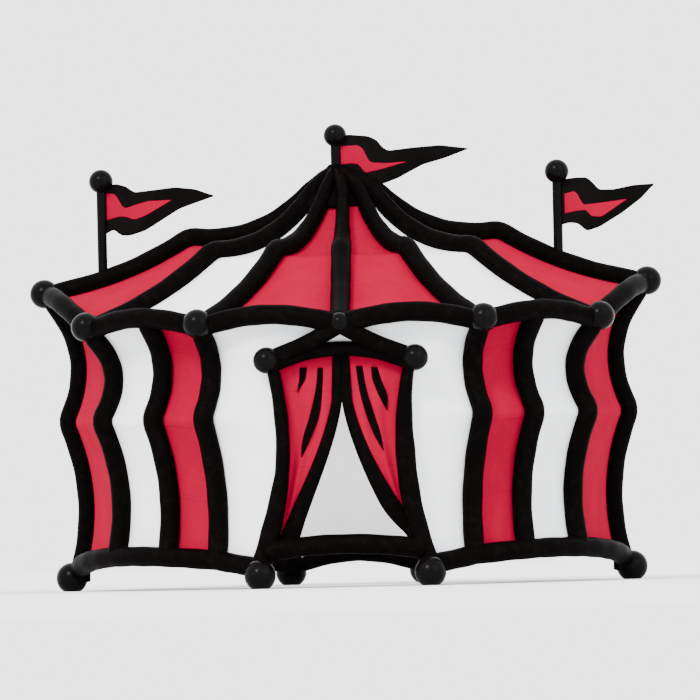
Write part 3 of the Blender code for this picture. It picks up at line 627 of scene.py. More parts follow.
@dataclass(frozen=True)
class TentForm:
    """The canvas as one surface: plan angles in degrees from the doorway, and steps 0 crown, 1 roof fold, 2 eaves,
    3 wall fold, 4 hem."""

    crown: tuple[float, float] = (0.6, 6.38)
    roof_fold: tuple[float, float] = (2.55, 5.5)
    eave: tuple[float, float] = (4.8, 4.28)
    wall_fold: tuple[float, float] = (4.57, 2.82)
    hem: tuple[float, float] = (4.42, 0.34)
    sags: tuple[float, ...] = (0.24, 0.12, 0.33, 0.22)
    ribs: tuple[float, ...] = (0.0, 28.0, 58.0, 90.0)
    eave_arch: float = 0.18
    hem_arch: float = 0.2
    side_lift: float = 0.6
    side_fold_lift: float = 0.25
    door_angle: float = 14.0
    stripe_angle: float = 41.0
    seam_flick: float = 1.6
    roof_flick: float = 3.5
    roof_flick_shares: tuple[float, ...] = (0.0, 1.0, 0.4, 0.0)
    crease: float = 0.02
    crease_width: float = 0.05
    centre_fade: float = 7.0
    side_fade: float = 16.0
    probe: float = 0.02
    highest_step: float = -0.2
    set_in: float = 0.002

    @staticmethod
    def folded(angles: Array) -> Array:
        """Plan angles brought into the first quarter, because the tent mirrors front to back and side to side."""
        size = np.abs(angles)
        return np.where(size <= 90.0, size, 180.0 - size)

    def eave_height(self, angles: Array) -> Array:
        """The eaves: an arch over each bay, a half wave high, and a straight climb along the last bay."""
        quarter = self.folded(angles)
        bay = np.clip(np.searchsorted(self.ribs, quarter, side="right") - 1, 0, 2)
        low, high = np.take(self.ribs, bay), np.take(self.ribs, bay + 1)
        share = (quarter - low) / (high - low)
        climb = np.where(bay == 2, self.side_lift * share, 0.0)
        return self.eave[1] + climb + self.eave_arch * np.sin(math.pi * share)

    def hem_height(self, angles: Array) -> Array:
        """The hem: half a cosine wave over the doorway and half a sine wave from there to the side post."""
        quarter, door = self.folded(angles), self.door_angle
        beside = np.sin(math.pi * np.clip((quarter - door) / (90.0 - door), 0.0, 1.0))
        over = np.cos(math.pi * np.clip(quarter / (2 * door), 0.0, 0.5))
        return self.hem[1] + self.hem_arch * np.where(quarter < door, over, beside)

    def outline(self, angles: Array, steps: Array) -> tuple[Array, Array]:
        """Radius and height: straight spans between the outline's knots, each pulled in by a parabola of its sag."""
        outer, side = self.ribs[2:]
        lift = self.side_fold_lift * np.clip((self.folded(angles) - outer) / (side - outer), 0.0, 1.0)
        knots_r = np.array([self.crown[0], self.roof_fold[0], self.eave[0], self.wall_fold[0], self.hem[0]])
        heights = (self.crown[1] + 0 * lift, self.roof_fold[1] + lift, self.eave_height(angles))
        knots_z = np.stack([*heights, self.wall_fold[1] + 0 * lift, self.hem_height(angles)])
        span = np.clip(np.floor(steps).astype(int), 0, 3)
        t = steps - span
        r0, r1 = knots_r[span], knots_r[span + 1]
        z0, z1 = (np.take_along_axis(knots_z, (span + k)[None], axis=0)[0] for k in (0, 1))
        length = np.hypot(r1 - r0, z1 - z0)
        pull = np.take(self.sags, span) * 4 * t * (1 - t) / length
        return r0 + (r1 - r0) * t + (z1 - z0) * pull, z0 + (z1 - z0) * t - (r1 - r0) * pull

    def at(self, angles: Array | float, steps: Array | float, softened: bool = True) -> Array:
        """Points of the canvas: the outline turned to its plan angle, with the folds softened.

        Args:
            angles: plan angles in degrees.
            steps: places down the outline, 0 to 4.
            softened: rounds the two folds by averaging close steps.

        Returns:
            Their points, in an array with one more axis.
        """
        angles, steps = np.broadcast_arrays(np.asarray(angles, float), np.asarray(steps, float))
        if softened:
            near = (np.exp(-(((steps - fold) / self.crease_width) ** 2)) for fold in (1, 3))
            reach = self.crease * sum(near)
            return (self.at(angles, steps - reach, False) + self.at(angles, steps + reach, False)) / 2
        radius, height = self.outline(angles, steps)
        quarter = self.folded(angles)
        fade = np.clip((90.0 - quarter) / self.side_fade, 0.0, 1.0) * np.clip(quarter / self.centre_fade, 0.0, 1.0)
        swing = self.seam_flick * np.clip(1.0 - np.abs(steps - 3.0), 0.0, 1.0) * fade
        swing -= self.roof_flick * np.clip(1.0 - np.abs(steps - 1.0), 0.0, 1.0) * np.interp(
            quarter, self.ribs, self.roof_flick_shares
        )
        away = np.sign(angles) * np.where(np.abs(angles) < 90.0, 1.0, -1.0)
        turn = np.radians(angles + swing * away)
        return np.stack([radius * np.sin(turn), -radius * np.cos(turn), height], axis=-1)

    def inward(self, angles: Array | float, steps: Array | float) -> Array:
        """The way into the tent, square to the canvas: the surface's two slopes crossed."""
        angles, steps = np.broadcast_arrays(np.asarray(angles, float), np.asarray(steps, float))
        below = self.at(angles, np.minimum(steps + self.probe, 4.0))
        down = below - self.at(angles, np.maximum(steps - self.probe, self.highest_step))
        turn = np.radians(angles)
        round_way = np.stack([np.cos(turn), np.sin(turn), np.zeros_like(turn)], axis=-1)
        return unit(np.cross(round_way, down))

    def off_canvas(self, angles: Array | float, steps: Array | float, out: float) -> tuple[Array, Array]:
        """Args: angles, steps: where. out: how far outside. Returns: the points there, and the outward way."""
        inward = self.inward(angles, steps)
        return self.at(angles, steps) - inward * out, -inward

    def panel(
        self, ends: tuple[float, float], reach: tuple[float, float], size: tuple[int, int], sag: float
    ) -> tuple[Array, Array]:
        """A panel of canvas, pressed in between its ribs by a sine arch that fades at both ends.

        Args:
            ends: its two plan angles.
            reach: the steps where it starts and stops.
            size: its rows and columns of points.
            sag: how far its middle is pressed in.

        Returns:
            Its grid, and the way in at each point.
        """
        rows, columns = size
        angles, steps = np.linspace(*ends, columns)[None, :], np.linspace(*reach, rows)[:, None]
        across, down = (np.sin(np.linspace(0.0, math.pi, count)) for count in (columns, rows))
        inward = self.inward(angles, steps)
        pressed = self.set_in + sag * across[None, :] * down[:, None]
        return self.at(angles, steps) + inward * pressed[..., None], inward


@dataclass(frozen=True)
class Doorway:
    """The doorway's lines, which stand in one plane in front of the canvas."""

    plane_y: float = -4.55
    head_z: float = 3.75
    foot_z: float = 0.34
    head_half: float = 1.22
    foot_half: float = 1.4
    bow: float = 0.27
    apex: tuple[float, float, float] = (0.0, -4.8, 4.28)
    gable_dip: float = 0.03
    header_z: float = 3.92
    header_end: tuple[float, float] = (1.19, 3.634)
    sill_z: float = 0.6
    sill_arch: float = 0.11
    curtain_apex_z: float = 3.05
    curtain_hem_z: float = 0.72
    curtain_end_z: float = 0.56
    curtain_open: float = 0.87
    curtain_sweep: float = 1.35
    curtain_lean: float = 0.11
    curtain_lean_power: float = 5.5
    curtain_flare: float = 0.11
    curtain_flare_z: float = 1.38
    curtain_flare_reach: float = 0.5
    curtain_gap: float = 0.001
    hem_drop: float = 3.2
    hem_top: float = 0.14
    hem_growth: float = 0.12
    hem_spread: tuple[float, float] = (0.09, 0.22)

    def post_x(self, z: Array) -> Array:
        """Half the doorway's width: a straight spread to the foot less a parabola that bows inwards."""
        share = (self.head_z - z) / (self.head_z - self.foot_z)
        return self.head_half + (self.foot_half - self.head_half) * share - self.bow * 4 * share * (1 - share)

    def on_plane(self, x: Array, z: Array) -> Array:
        """Args: x, z: places across and up. Returns: the points there on the doorway's plane."""
        return np.stack([x, np.full(len(z), self.plane_y), z], axis=-1)

    def post(self, side: int, z: Array) -> Array:
        """Args: side: the sign of X. z: heights. Returns: the post's line there."""
        return self.on_plane(side * self.post_x(z), z)

    def gable(self, side: int, share: Array) -> Array:
        """Args: side: the sign of X. share: 0 at the apex to 1 at the post's head. Returns: the gable's line there,
        straight but for a shallow parabola's dip."""
        share = share[:, None]
        head = np.array((side * self.head_half, self.plane_y, self.head_z))
        dip = np.array((0.0, 0.0, -self.gable_dip)) * 4 * share * (1 - share)
        return np.array(self.apex) + (head - np.array(self.apex)) * share + dip

    def header(self, share: Array) -> Array:
        """Args: share: -1 at the left post to 1 at the right. Returns: the header's line there, a parabola."""
        half, end_z = self.header_end
        return self.on_plane(share * half, end_z + (self.header_z - end_z) * (1 - share**2))

    def sill(self, share: Array) -> Array:
        """Args: share: -1 at the left post to 1 at the right. Returns: the sill's line there, a low parabola."""
        return self.on_plane(share * self.post_x(self.sill_z), self.sill_z + self.sill_arch * (1 - share**2))

    def curtain_x(self, side: int, z: Array) -> Array:
        """An opening edge's distance from the middle: a power of the depth under its apex, with a steeper power that
        sets the left edge in and the right one out at the foot, where the right one also flares."""
        share = np.clip((self.curtain_apex_z - z) / (self.curtain_apex_z - self.curtain_hem_z), 0.0, None)
        lean = self.curtain_lean * side * share**self.curtain_lean_power
        low = np.clip((self.curtain_flare_z - z) / self.curtain_flare_reach, 0.0, 1.0)
        flare = self.curtain_flare * low**2 * (side > 0)
        return self.curtain_gap + self.curtain_open * share**self.curtain_sweep + lean + flare

    def hem_width(self, side: int, z: Array) -> Array:
        """The black hem band's width, which grows down the curtain as a cubic of the depth, faster on the right."""
        depth = (self.header_z - z) / self.hem_drop
        return self.hem_top + self.hem_growth * depth + self.hem_spread[side > 0] * depth**3


# Making pieces.


@dataclass
class Piecework:
    """Turns shells into the tent's pieces and hands them to the frame."""

    finishes: Finishes
    made: int = 0
    faces: int = 0

    def add(self, name: str, shell: Shell, material: Material, replaces: Sequence[str] = ()) -> Piece:
        """Adds one piece.

        Args:
            name: the piece's name.
            shell: its mesh.
            material: its finish.
            replaces: the solids that it stands for.

        Returns:
            The piece.
        """
        mesh = bpy.data.meshes.new(name)
        faces = shell.quads.tolist() + shell.tris.tolist()
        mesh.from_pydata(shell.points, [], faces)
        layer = mesh.uv_layers.new(name="metres")
        uv = np.concatenate([shell.quad_uv.reshape(-1), shell.tri_uv.reshape(-1)])
        layer.data.foreach_set("uv", uv.astype(np.float32))
        smooth = np.ones(len(faces), bool)
        if shell.rim is not None:
            smooth[: len(shell.rim)] = ~shell.rim
        mesh.polygons.foreach_set("use_smooth", smooth)
        if shell.edge is not None:
            mark = mesh.attributes.new("edge", "FLOAT", "POINT")
            mark.data.foreach_set("value", shell.edge.astype(np.float32))
        mesh.materials.append(material)
        mesh.validate()
        piece = bpy.data.objects.new(name, mesh)
        bpy.context.scene.collection.objects.link(piece)
        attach(piece, ROOT_BODY)
        self.finishes.slot_of(material).value
        if replaces:
            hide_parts(*replaces)
        self.made += 1
        self.faces += len(faces)
        log.info("%s: %d faces, %s", name, len(faces), material.name)
        return piece

    def add_sheet(
        self,
        name: str,
        outer: Array,
        thickness: float,
        material: Material,
        replaces: Sequence[str] = (),
        inward: Array | None = None,
    ) -> Piece:
        """Args:
            name: the piece's name.
            outer: its outer face's grid.
            thickness: the cloth's thickness.
            material: its finish.
            replaces: the solids that it stands for.
            inward: the way in at each point.

        Returns:
            The piece.
        """
        shell = cloth_slab(outer, thickness, inward)
        piece = self.add(name, shell, material, replaces)
        width = float(run_lengths(outer, 1)[:, -1].max())
        length = float(run_lengths(outer, 0)[-1].max())
        shell.area() / 2
        return piece

    def add_canvas(self, node: str, outer: Array, inward: Array, colour: Slot = Slot.WHITE) -> Piece:
        """Adds a stretched canvas that stands for one solid.

        Args:
            node: the solid, whose name the piece takes.
            outer: its outer face's grid.
            inward: the way in at each point.
            colour: red or white.

        Returns:
            The piece.
        """
        material = self.finishes.red if colour is Slot.RED else self.finishes.white
        return self.add_sheet(f"{node}_canvas", outer, CLOTH, material, [node], inward)

    def add_padded(
        self, name: str, shell: Shell, material: Material, replaces: Sequence[str] = ()
    ) -> Piece:
        """Adds a stuffed piece. Args: as in add. Returns: the piece."""
        piece = self.add(name, shell, material, replaces)
        return piece


# The canvas pieces.


@dataclass
class RoofCanvas:
    """The roof's twelve panels between the ribs, red, white, red from the front centre to each side."""

    form: TentForm
    steps: tuple[float, float] = (0.02, 1.995)
    columns: int = 33
    rows: int = 61
    sag: float = 0.035

    def build(self, work: Piecework) -> None:
        """Builds each panel on the tent's surface."""
        ribs = self.form.ribs
        bays = (
            ("inner", ribs[0], ribs[1], Slot.RED),
            ("middle", ribs[1], ribs[2], Slot.WHITE),
            ("outer", ribs[2], ribs[3], Slot.RED),
        )
        for quarter, name, first, last, colour in in_all_quarters(bays):
            outer, inward = self.form.panel((first, last), self.steps, (self.rows, self.columns), self.sag)
            work.add_canvas(f"roof_{quarter}_{name}", outer, inward, colour)


@dataclass
class WallCanvas:
    """The wall's striped panels, the white canvas beside the doorway and the closed back."""

    form: TentForm
    door: Doorway
    steps: tuple[float, float] = (2.005, 3.99)
    columns: int = 29
    rows: int = 73
    sag: float = 0.012
    set_in: float = 0.003
    rows_over_fold: float = 6.0
    rows_under_fold: float = 5.0
    gable_steps: float = 1.0 / 3.0

    def build(self, work: Piecework) -> None:
        """Builds the stripes, the doorway's walls and the back."""
        ribs, seam = self.form.ribs, self.form.stripe_angle
        bays = (
            ("red_inner", ribs[1], seam, Slot.RED),
            ("white", seam, ribs[2], Slot.WHITE),
            ("red_outer", ribs[2], ribs[3], Slot.RED),
        )
        for quarter, name, first, last, colour in in_all_quarters(bays):
            outer, inward = self.form.panel((first, last), self.steps, (self.rows, self.columns), self.sag)
            work.add_canvas(f"wall_{quarter}_{name}", outer, inward, colour)
        self.build_door_walls(work)
        self.build_back(work)

    def build_door_walls(self, work: Piecework) -> None:
        """Builds the white walls beside the doorway: straight across from its edge to the first rib, with the bend of
        the eaves and of the hem fading out by the square of the distance."""
        share_down = np.linspace(0.0, 1.0, self.rows)
        over, under = self.rows_over_fold, self.rows_under_fold
        row = share_down * (over + under)
        steps = 2.0 + np.minimum(row, over) / over + np.maximum(row - over, 0.0) / under
        share = np.linspace(0.0, 1.0, self.columns)
        v, u = share_down[:, None, None], share[None, :, None]
        for side in Side:
            far_angle = side.value * self.form.ribs[1]
            far = self.form.at(far_angle, np.minimum(steps, HEM_STEP))
            near = self.door_edge(side.value, steps)
            top = self.form.at(far_angle * share, 2.0, False)
            hem = near[-1] + (far[-1] - near[-1]) * share[:, None]
            bend_top = (top - (top[0] + (top[-1] - top[0]) * share[:, None]))[None]
            bend_hem = (hem - (hem[0] + (hem[-1] - hem[0]) * share[:, None]))[None]
            outer = (1 - u) * near[:, None] + u * far[:, None] + (1 - v) ** 2 * bend_top + v**2 * bend_hem
            inward = grid_normals(outer)
            inward *= np.sign((inward * (0.0, 1.0, 0.0)).sum(axis=-1, keepdims=True).mean())
            work.add_canvas(f"door_wall_{side.word}", outer + inward * self.set_in, inward)

    def door_edge(self, side: int, steps: Array) -> Array:
        """The canvas edge beside the doorway: down the gable for a third of a step, then down the post."""
        gable_end = 2.0 + self.gable_steps
        share = np.clip((steps - 2.0) / (gable_end - 2.0), 0.0, 1.0)
        fold_z = self.form.wall_fold[1]
        z = np.interp(steps, [gable_end, 3.0, 4.0], [self.door.head_z, fold_z, self.door.foot_z])
        return np.where((steps < gable_end)[:, None], self.door.gable(side, share), self.door.post(side, z))

    def build_back(self, work: Piecework) -> None:
        """Builds the closed bay at the back on the tent's surface."""
        columns = 2 * self.columns - 1
        quarters = np.linspace(-self.form.ribs[1], self.form.ribs[1], columns)
        angles = np.where(quarters < 0, 180.0 + quarters, -180.0 + quarters)[None, :]
        steps = np.linspace(*self.steps, self.rows)[:, None]
        radius, height = self.form.outline(*np.broadcast_arrays(angles, steps))
        fade = np.clip(np.abs(quarters) / self.form.centre_fade, 0.0, 1.0)
        swing = self.form.seam_flick * np.clip(1.0 - np.abs(steps - 3.0), 0.0, 1.0) * fade
        turn = np.radians(180.0 + quarters + np.sign(quarters) * swing)
        outer = np.stack([radius * np.sin(turn), -radius * np.cos(turn), height], axis=-1)
        inward = grid_normals(outer)
        inward *= np.sign((inward * (0.0, -1.0, 0.0)).sum(axis=-1).mean())
        work.add_canvas("back_wall", outer + inward * self.set_in, inward)


# The padded cage.


@dataclass
class PaddedCage:
    """Padded sleeves along the ribs, posts and rails, with lacquered balls at the corners and feet."""

    form: TentForm
    door: Doorway
    sleeve: float = 0.165
    header: float = 0.12
    gable: float = 0.135
    gap: float = 0.0006
    corner_ball: float = 0.24
    centre_ball: float = 0.165
    door_ball: float = 0.22
    foot_ball: float = 0.26
    foot_z: float = 0.22
    post_end_z: float = 0.16
    tie_pitch: float = 0.6
    tie_depth: float = 0.02
    gable_lean: tuple[float, float, float] = (0.23, -0.97, 0.0)
    crown_share: float = 0.66
    taper_end: float = 1.0
    sunk: float = 0.058
    crown_tip: tuple[float, float, float] = (-0.12, 0.0, 6.83)
    crown_reach: float = 0.07
    crown_lead: float = 0.34
    post_heights: tuple[float, ...] = (0.9, 1.4, 1.9, 2.3, 2.8, 3.5)
    post_shares: Mapping[Side, tuple[float, ...]] = field(
        default_factory=lambda: {
            Side.LEFT: (1.0, 0.9, 0.74, 0.7, 0.7, 0.64),
            Side.RIGHT: (1.0, 1.0, 1.0, 0.97, 0.82, 0.6),
        }
    )

    @property
    def stand_off(self) -> float:
        """How far a sleeve's middle stands off the canvas, which is sewn a little way into the sleeve."""
        return self.sleeve - self.sunk

    def swollen(self, radius: float, length: float, count: int) -> Array:
        """The padding's radius along a sleeve: full between its ties, and a little waisted at each."""
        run = np.linspace(0.0, length, count)
        ties = max(1, round(length / self.tie_pitch))
        return radius * (1.0 - self.tie_depth * np.cos(run * 2 * math.pi * ties / length))

    def sleeve_at(self, angles: Array | float, steps: Array | float) -> Shell:
        """Args: angles, steps: its path on the canvas. Returns: a full sleeve along it."""
        return self.sleeved(*self.form.off_canvas(angles, steps, self.stand_off), self.sleeve)

    def sleeved(self, centres: Array, out: Array, radius: float, narrowed: Array | float = 1.0) -> Shell:
        """Args: centres: the path. out: outward ways. radius, narrowed: the sleeve's. Returns: the padded tube."""
        length = float(run_lengths(centres, 0)[-1])
        return swept_tube(centres, out, self.swollen(radius, length, len(centres)), narrowed=narrowed)

    def corner_balls(self, angles: Sequence[float], radius: float) -> list[Shell]:
        """Args: angles: plan angles. radius: the balls'. Returns: balls at the eaves, each just off the canvas."""
        return [ball(self.form.off_canvas(angle, 2.0, radius + self.gap)[0], radius) for angle in angles]

    def foot(self, point: Array, out: Array) -> Shell:
        """Args: point: a post's end. out: the way out there. Returns: its foot, flattened by the ground."""
        centre = point + out * (self.foot_ball + self.gap)
        return ball(np.array((centre[0], centre[1], self.foot_z)), self.foot_ball, 0.0)

    def down_to_foot(self, centres: Array, out: Array) -> tuple[Array, Array]:
        """A post's path carried straight down into its foot."""
        drop = np.linspace(0.0, 1.0, 6)[1:, None]
        low = centres[-1] + (np.array((*centres[-1][:2], self.post_end_z)) - centres[-1]) * drop
        return np.vstack([centres, low]), np.vstack([out, np.repeat(out[-1:], 5, axis=0)])

    def build(self, work: Piecework) -> None:
        """Builds every sleeve and ball."""
        self.build_ribs(work)
        for side in Side:
            self.build_side_post(work, side)
            for face in Face:
                self.build_wall_frame(work, side, face)
        self.build_door_frame(work)
        self.build_back_frame(work)

    def build_ribs(self, work: Piecework) -> None:
        """The twelve sleeves on the roof, and the balls over the doorway and the back."""
        centre, inner, outer, side_rib = self.form.ribs
        ribs = [(f"{face.value}_centre", plan_angle(face, Side.RIGHT, centre)) for face in Face]
        for place, quarter in (("inner", inner), ("outer", outer)):
            ribs += [(f"{f.value}_{s.word}_{place}", plan_angle(f, s, quarter)) for f in Face for s in Side]
        ribs += [(f"{side.word}_side", plan_angle(Face.FRONT, side, side_rib)) for side in Side]
        for name, angle in ribs:
            node = f"roof_rib_{name}"
            work.add_padded(f"{node}_sleeve", self.roof_sleeve(angle), work.finishes.vinyl, [node])
            if name.endswith("centre"):
                work.add(f"{node}_ball", self.corner_balls([angle], self.centre_ball)[0], work.finishes.lacquer)

    def roof_sleeve(self, angle: float) -> Shell:
        """A roof sleeve: down the canvas from the crown to the eaves, led in from the mast by a quadratic curve whose
        middle point stands on the sleeve's own line; it is narrowed sideways towards the mast."""
        steps = np.linspace(0.0, 2.0, 90)
        centres, out = self.form.off_canvas(angle, steps, self.stand_off)
        turn = math.radians(angle)
        tip = np.array(self.crown_tip) + self.crown_reach * np.array((math.sin(turn), -math.cos(turn), 0.0))
        middle = centres[0] - unit(centres[1] - centres[0]) * self.crown_lead
        t = np.linspace(0.0, 1.0, 26)[:-1, None]
        lead = (1 - t) ** 2 * tip + 2 * t * (1 - t) * middle + t**2 * centres[0]
        ways = unit(np.array((0.0, 0.0, 1.0)) * (1 - t) + out[0] * t)
        rise = np.clip(steps / self.taper_end, 0.0, 1.0)
        share = self.crown_share + (1.0 - self.crown_share) * rise**2 * (3 - 2 * rise)
        narrowed = np.concatenate([np.full(len(t), self.crown_share), share])
        return self.sleeved(np.vstack([lead, centres]), np.vstack([ways, out]), self.sleeve, narrowed)

    def build_side_post(self, work: Piecework, side: Side) -> None:
        """A side post with its eave ball and its foot."""
        node = f"side_post_{side.word}"
        angle = plan_angle(Face.FRONT, side, self.form.ribs[3])
        sleeve, foot = self.post(angle, 100)
        work.add_padded(f"{node}_sleeve", sleeve, work.finishes.vinyl, [node])
        balls = [*self.corner_balls([angle], self.corner_ball), foot]
        work.add(f"{node}_balls", joined(balls), work.finishes.lacquer)

    def post(self, angle: float, rings: int) -> tuple[Shell, Shell]:
        """Args: angle: its plan angle. rings: the sleeve's, down to the hem. Returns: a post's sleeve and foot."""
        centres, out = self.form.off_canvas(angle, np.linspace(2.0, HEM_STEP, rings), self.stand_off)
        foot = self.foot(self.form.at(angle, HEM_STEP), out[-1])
        return self.sleeved(*self.down_to_foot(centres, out), self.sleeve), foot

    def build_wall_frame(self, work: Piecework, side: Side, face: Face) -> None:
        """The eave sleeve, the wall sleeves and the hem sleeve of one quarter, with two corner balls."""
        node = f"wall_frame_{face.value}_{side.word}"
        centre, inner, outer, side_rib = self.form.ribs
        bays = ((centre, inner), (inner, outer), (outer, side_rib))
        quarters = np.concatenate([*(np.linspace(*bay, 40)[:-1] for bay in bays), [side_rib]])
        shells = [self.sleeve_at(plan_angle(face, side, quarters), 2.0)]
        for quarter in (inner, self.form.stripe_angle, outer):
            shells.append(self.sleeve_at(plan_angle(face, side, quarter), np.linspace(2.0, HEM_STEP, 90)))
        shells.append(self.hem_sleeve(side, face))
        work.add_padded(f"{node}_sleeves", joined(shells), work.finishes.vinyl, [node])
        angles = [plan_angle(face, side, quarter) for quarter in (inner, outer)]
        work.add(f"{node}_balls", joined(self.corner_balls(angles, self.corner_ball)), work.finishes.lacquer)

    def hem_sleeve(self, side: Side, face: Face) -> Shell:
        """The sleeve along the hem: on the canvas from the first rib on, and straight to the doorway at the front."""
        if face is Face.BACK:
            return self.sleeve_at(plan_angle(face, side, np.linspace(self.form.door_angle, 90.0, 120)), HEM_STEP)
        angles = plan_angle(face, side, np.linspace(self.form.ribs[1], 90.0, 100))
        centres, out = self.form.off_canvas(angles, HEM_STEP, self.stand_off)
        near = np.array((side.value * self.door.foot_half, self.door.plane_y - self.stand_off, self.door.foot_z))
        share = np.linspace(0.0, 1.0, 24)[:-1, None]
        straight = near + (centres[0] - near) * share
        front = np.array((0.0, -1.0, 0.0))
        ways = unit(front + (out[0] - front) * share)
        return self.sleeved(np.vstack([straight, centres]), np.vstack([ways, out]), self.sleeve)

    def build_door_frame(self, work: Piecework) -> None:
        """The doorway's posts, header, gable and sill, with its balls and feet; a post's sleeve is narrowed sideways
        from its outer side, as the drawing has it."""
        front = np.array((0.0, -1.0, 0.0))

        def on_plane(line: Array, radius: float) -> Shell:
            """A sleeve in front of a line on the doorway's plane."""
            out = np.repeat(front[None], len(line), axis=0)
            return self.sleeved(line + out * (radius + self.gap), out, radius)

        sill, header = self.door.sill(np.linspace(-1.0, 1.0, 40)), self.door.header(np.linspace(-1.0, 1.0, 48))
        shells = [on_plane(sill, self.sleeve), on_plane(header, self.header)]
        balls = []
        for side in Side:
            post = self.door.post(side.value, np.linspace(self.door.head_z, self.door.foot_z, 60))
            out = np.repeat(front[None], len(post), axis=0)
            centres, ways = self.down_to_foot(post + out * self.stand_off, out)
            kept = np.interp(centres[:, 2], self.post_heights, self.post_shares[side])
            inwards = np.array((-side.value * self.sleeve, 0.0, 0.0)) * (1.0 - kept)[:, None]
            shells.append(self.sleeved(centres + inwards, ways, self.sleeve, kept))
            gable = self.door.gable(side.value, np.linspace(0.0, 1.0, 24))
            lean = unit(np.array(self.gable_lean) * (side.value, 1, 1))
            ways = np.repeat(lean[None], len(gable), axis=0)
            shells.append(self.sleeved(gable + lean * (self.gable + self.gap), ways, self.gable))
            balls.append(ball(post[0] + front * (self.door_ball + self.gap), self.door_ball))
            balls.append(self.foot(post[-1], front))
        work.add_padded("door_frame_sleeves", joined(shells), work.finishes.vinyl, ["door_frame"])
        work.add("door_frame_balls", joined(balls), work.finishes.lacquer)

    def build_back_frame(self, work: Piecework) -> None:
        """The two posts behind with their feet and the hem sleeve between them."""
        quarters = np.linspace(-self.form.door_angle, self.form.door_angle, 40)
        turn = np.radians(180.0 + quarters)
        z = self.form.hem_height(quarters)
        out = np.stack([np.sin(turn), -np.cos(turn), np.zeros_like(turn)], axis=-1)
        hem = out * self.form.hem[0] + np.array((0.0, 0.0, 1.0)) * z[:, None]
        shells = [self.sleeved(hem + out * self.stand_off, out, self.sleeve)]
        balls = []
        for side in Side:
            sleeve, foot = self.post(plan_angle(Face.BACK, side, self.form.door_angle), 90)
            shells.append(sleeve)
            balls.append(foot)
        work.add_padded("back_frame_sleeves", joined(shells), work.finishes.vinyl, ["back_frame"])
        work.add("back_frame_balls", joined(balls), work.finishes.lacquer)


@dataclass
class CrownAndMasts:
    """The gathered crown cap with the middle mast, and the two masts on the side ribs."""

    form: TentForm
    crown_x: float = -0.12
    mast: float = 0.08
    cap: Line = ((0.72, 6.28), (0.7, 6.4), (0.5, 6.6), (0.26, 6.86), (0.11, 7.02))
    cap_reach: float = 0.75
    cap_gores: int = 12
    cap_gore_depth: float = 0.02
    cap_rings: tuple[int, int] = (8, 40)
    cap_sides: int = 144
    pole_z: float = 6.95
    pole_sides: int = 32
    side_pole_lift: float = 0.16
    mast_ball_z: float = 7.5
    mast_ball: float = 0.19
    side_x: tuple[tuple[int, float], ...] = ((-1, -4.04), (1, 3.56))
    side_ball_z: float = 6.82
    side_ball: float = 0.2

    def build(self, work: Piecework) -> None:
        """Builds the crown and the masts."""
        work.add_padded("crown_cap", self.crown_cap(), work.finishes.vinyl, ["crown_mast"])
        centre = np.array((self.crown_x, 0.0, 0.0))
        pole = self.pole(self.pole_z, self.mast_ball_z, centre)
        knob = ball(centre + (0.0, 0.0, self.mast_ball_z), self.mast_ball)
        work.add("crown_mast_pole_and_ball", joined([pole, knob]), work.finishes.lacquer)
        for side in Side:
            x = dict(self.side_x)[side.value]
            node = f"side_mast_{side.word}"
            steps = np.linspace(0.0, 2.0, 200)
            rib = self.form.at(90.0, steps)
            foot_z = float(np.interp(abs(x), rib[:, 0], rib[:, 2]))
            base = np.array((x, 0.0, 0.0))
            pole = self.pole(foot_z + self.side_pole_lift, self.side_ball_z, base)
            knob = ball(base + (0.0, 0.0, self.side_ball_z), self.side_ball)
            work.add(f"{node}_pole_and_ball", joined([pole, knob]), work.finishes.lacquer, [node])

    def pole(self, low: float, high: float, centre: Array) -> Shell:
        """Args: low, high: its ends' heights. centre: a point on its axis, at z = 0. Returns: a mast's pole."""
        rings = 12
        return turned(np.full(rings, self.mast), np.linspace(low, high, rings), centre, self.pole_sides)

    def crown_cap(self) -> Shell:
        """The cap: its outline turned about the mast, with twelve soft gores, a cosine twelve times round that fades
        upwards."""
        r, z = (np.array(part) for part in zip(*self.cap))
        knots = np.arange(len(r))
        brim, rise = self.cap_rings
        fine = np.concatenate([np.linspace(0.0, 1.0, brim), np.linspace(1.0, knots[-1], rise)[1:]])
        radii, heights = np.interp(fine, knots, r), np.interp(fine, knots, z)
        sides = self.cap_sides
        turns = np.arange(sides) * 2 * math.pi / sides
        wave = (0.5 - 0.5 * np.cos(self.cap_gores * turns))[None, :]
        gore = 1.0 - self.cap_gore_depth * wave * np.clip(radii[:, None] / self.cap_reach, 0, 1)
        out = radii[:, None] * gore
        grid = np.stack([out * np.cos(turns), out * np.sin(turns), heights[:, None] + 0 * gore], axis=-1)
        grid += np.array((self.crown_x, 0.0, 0.0))
        uv = ring_uv(np.linspace(0.0, 2 * math.pi, sides + 1) * self.cap_reach, np.stack([radii, heights], axis=-1))
        ends = [np.array((self.crown_x, 0.0, z[k])) for k in (0, -1)]
        return capped(grid, uv, *ends)


@dataclass(frozen=True)
class Pennant:
    """One pennant's mast and edges, each edge as (distance from the mast, height) pairs from hoist to tip."""

    side: str
    mast_x: float
    top: Line
    bottom: Line
    red_top: Line
    red_bottom: Line


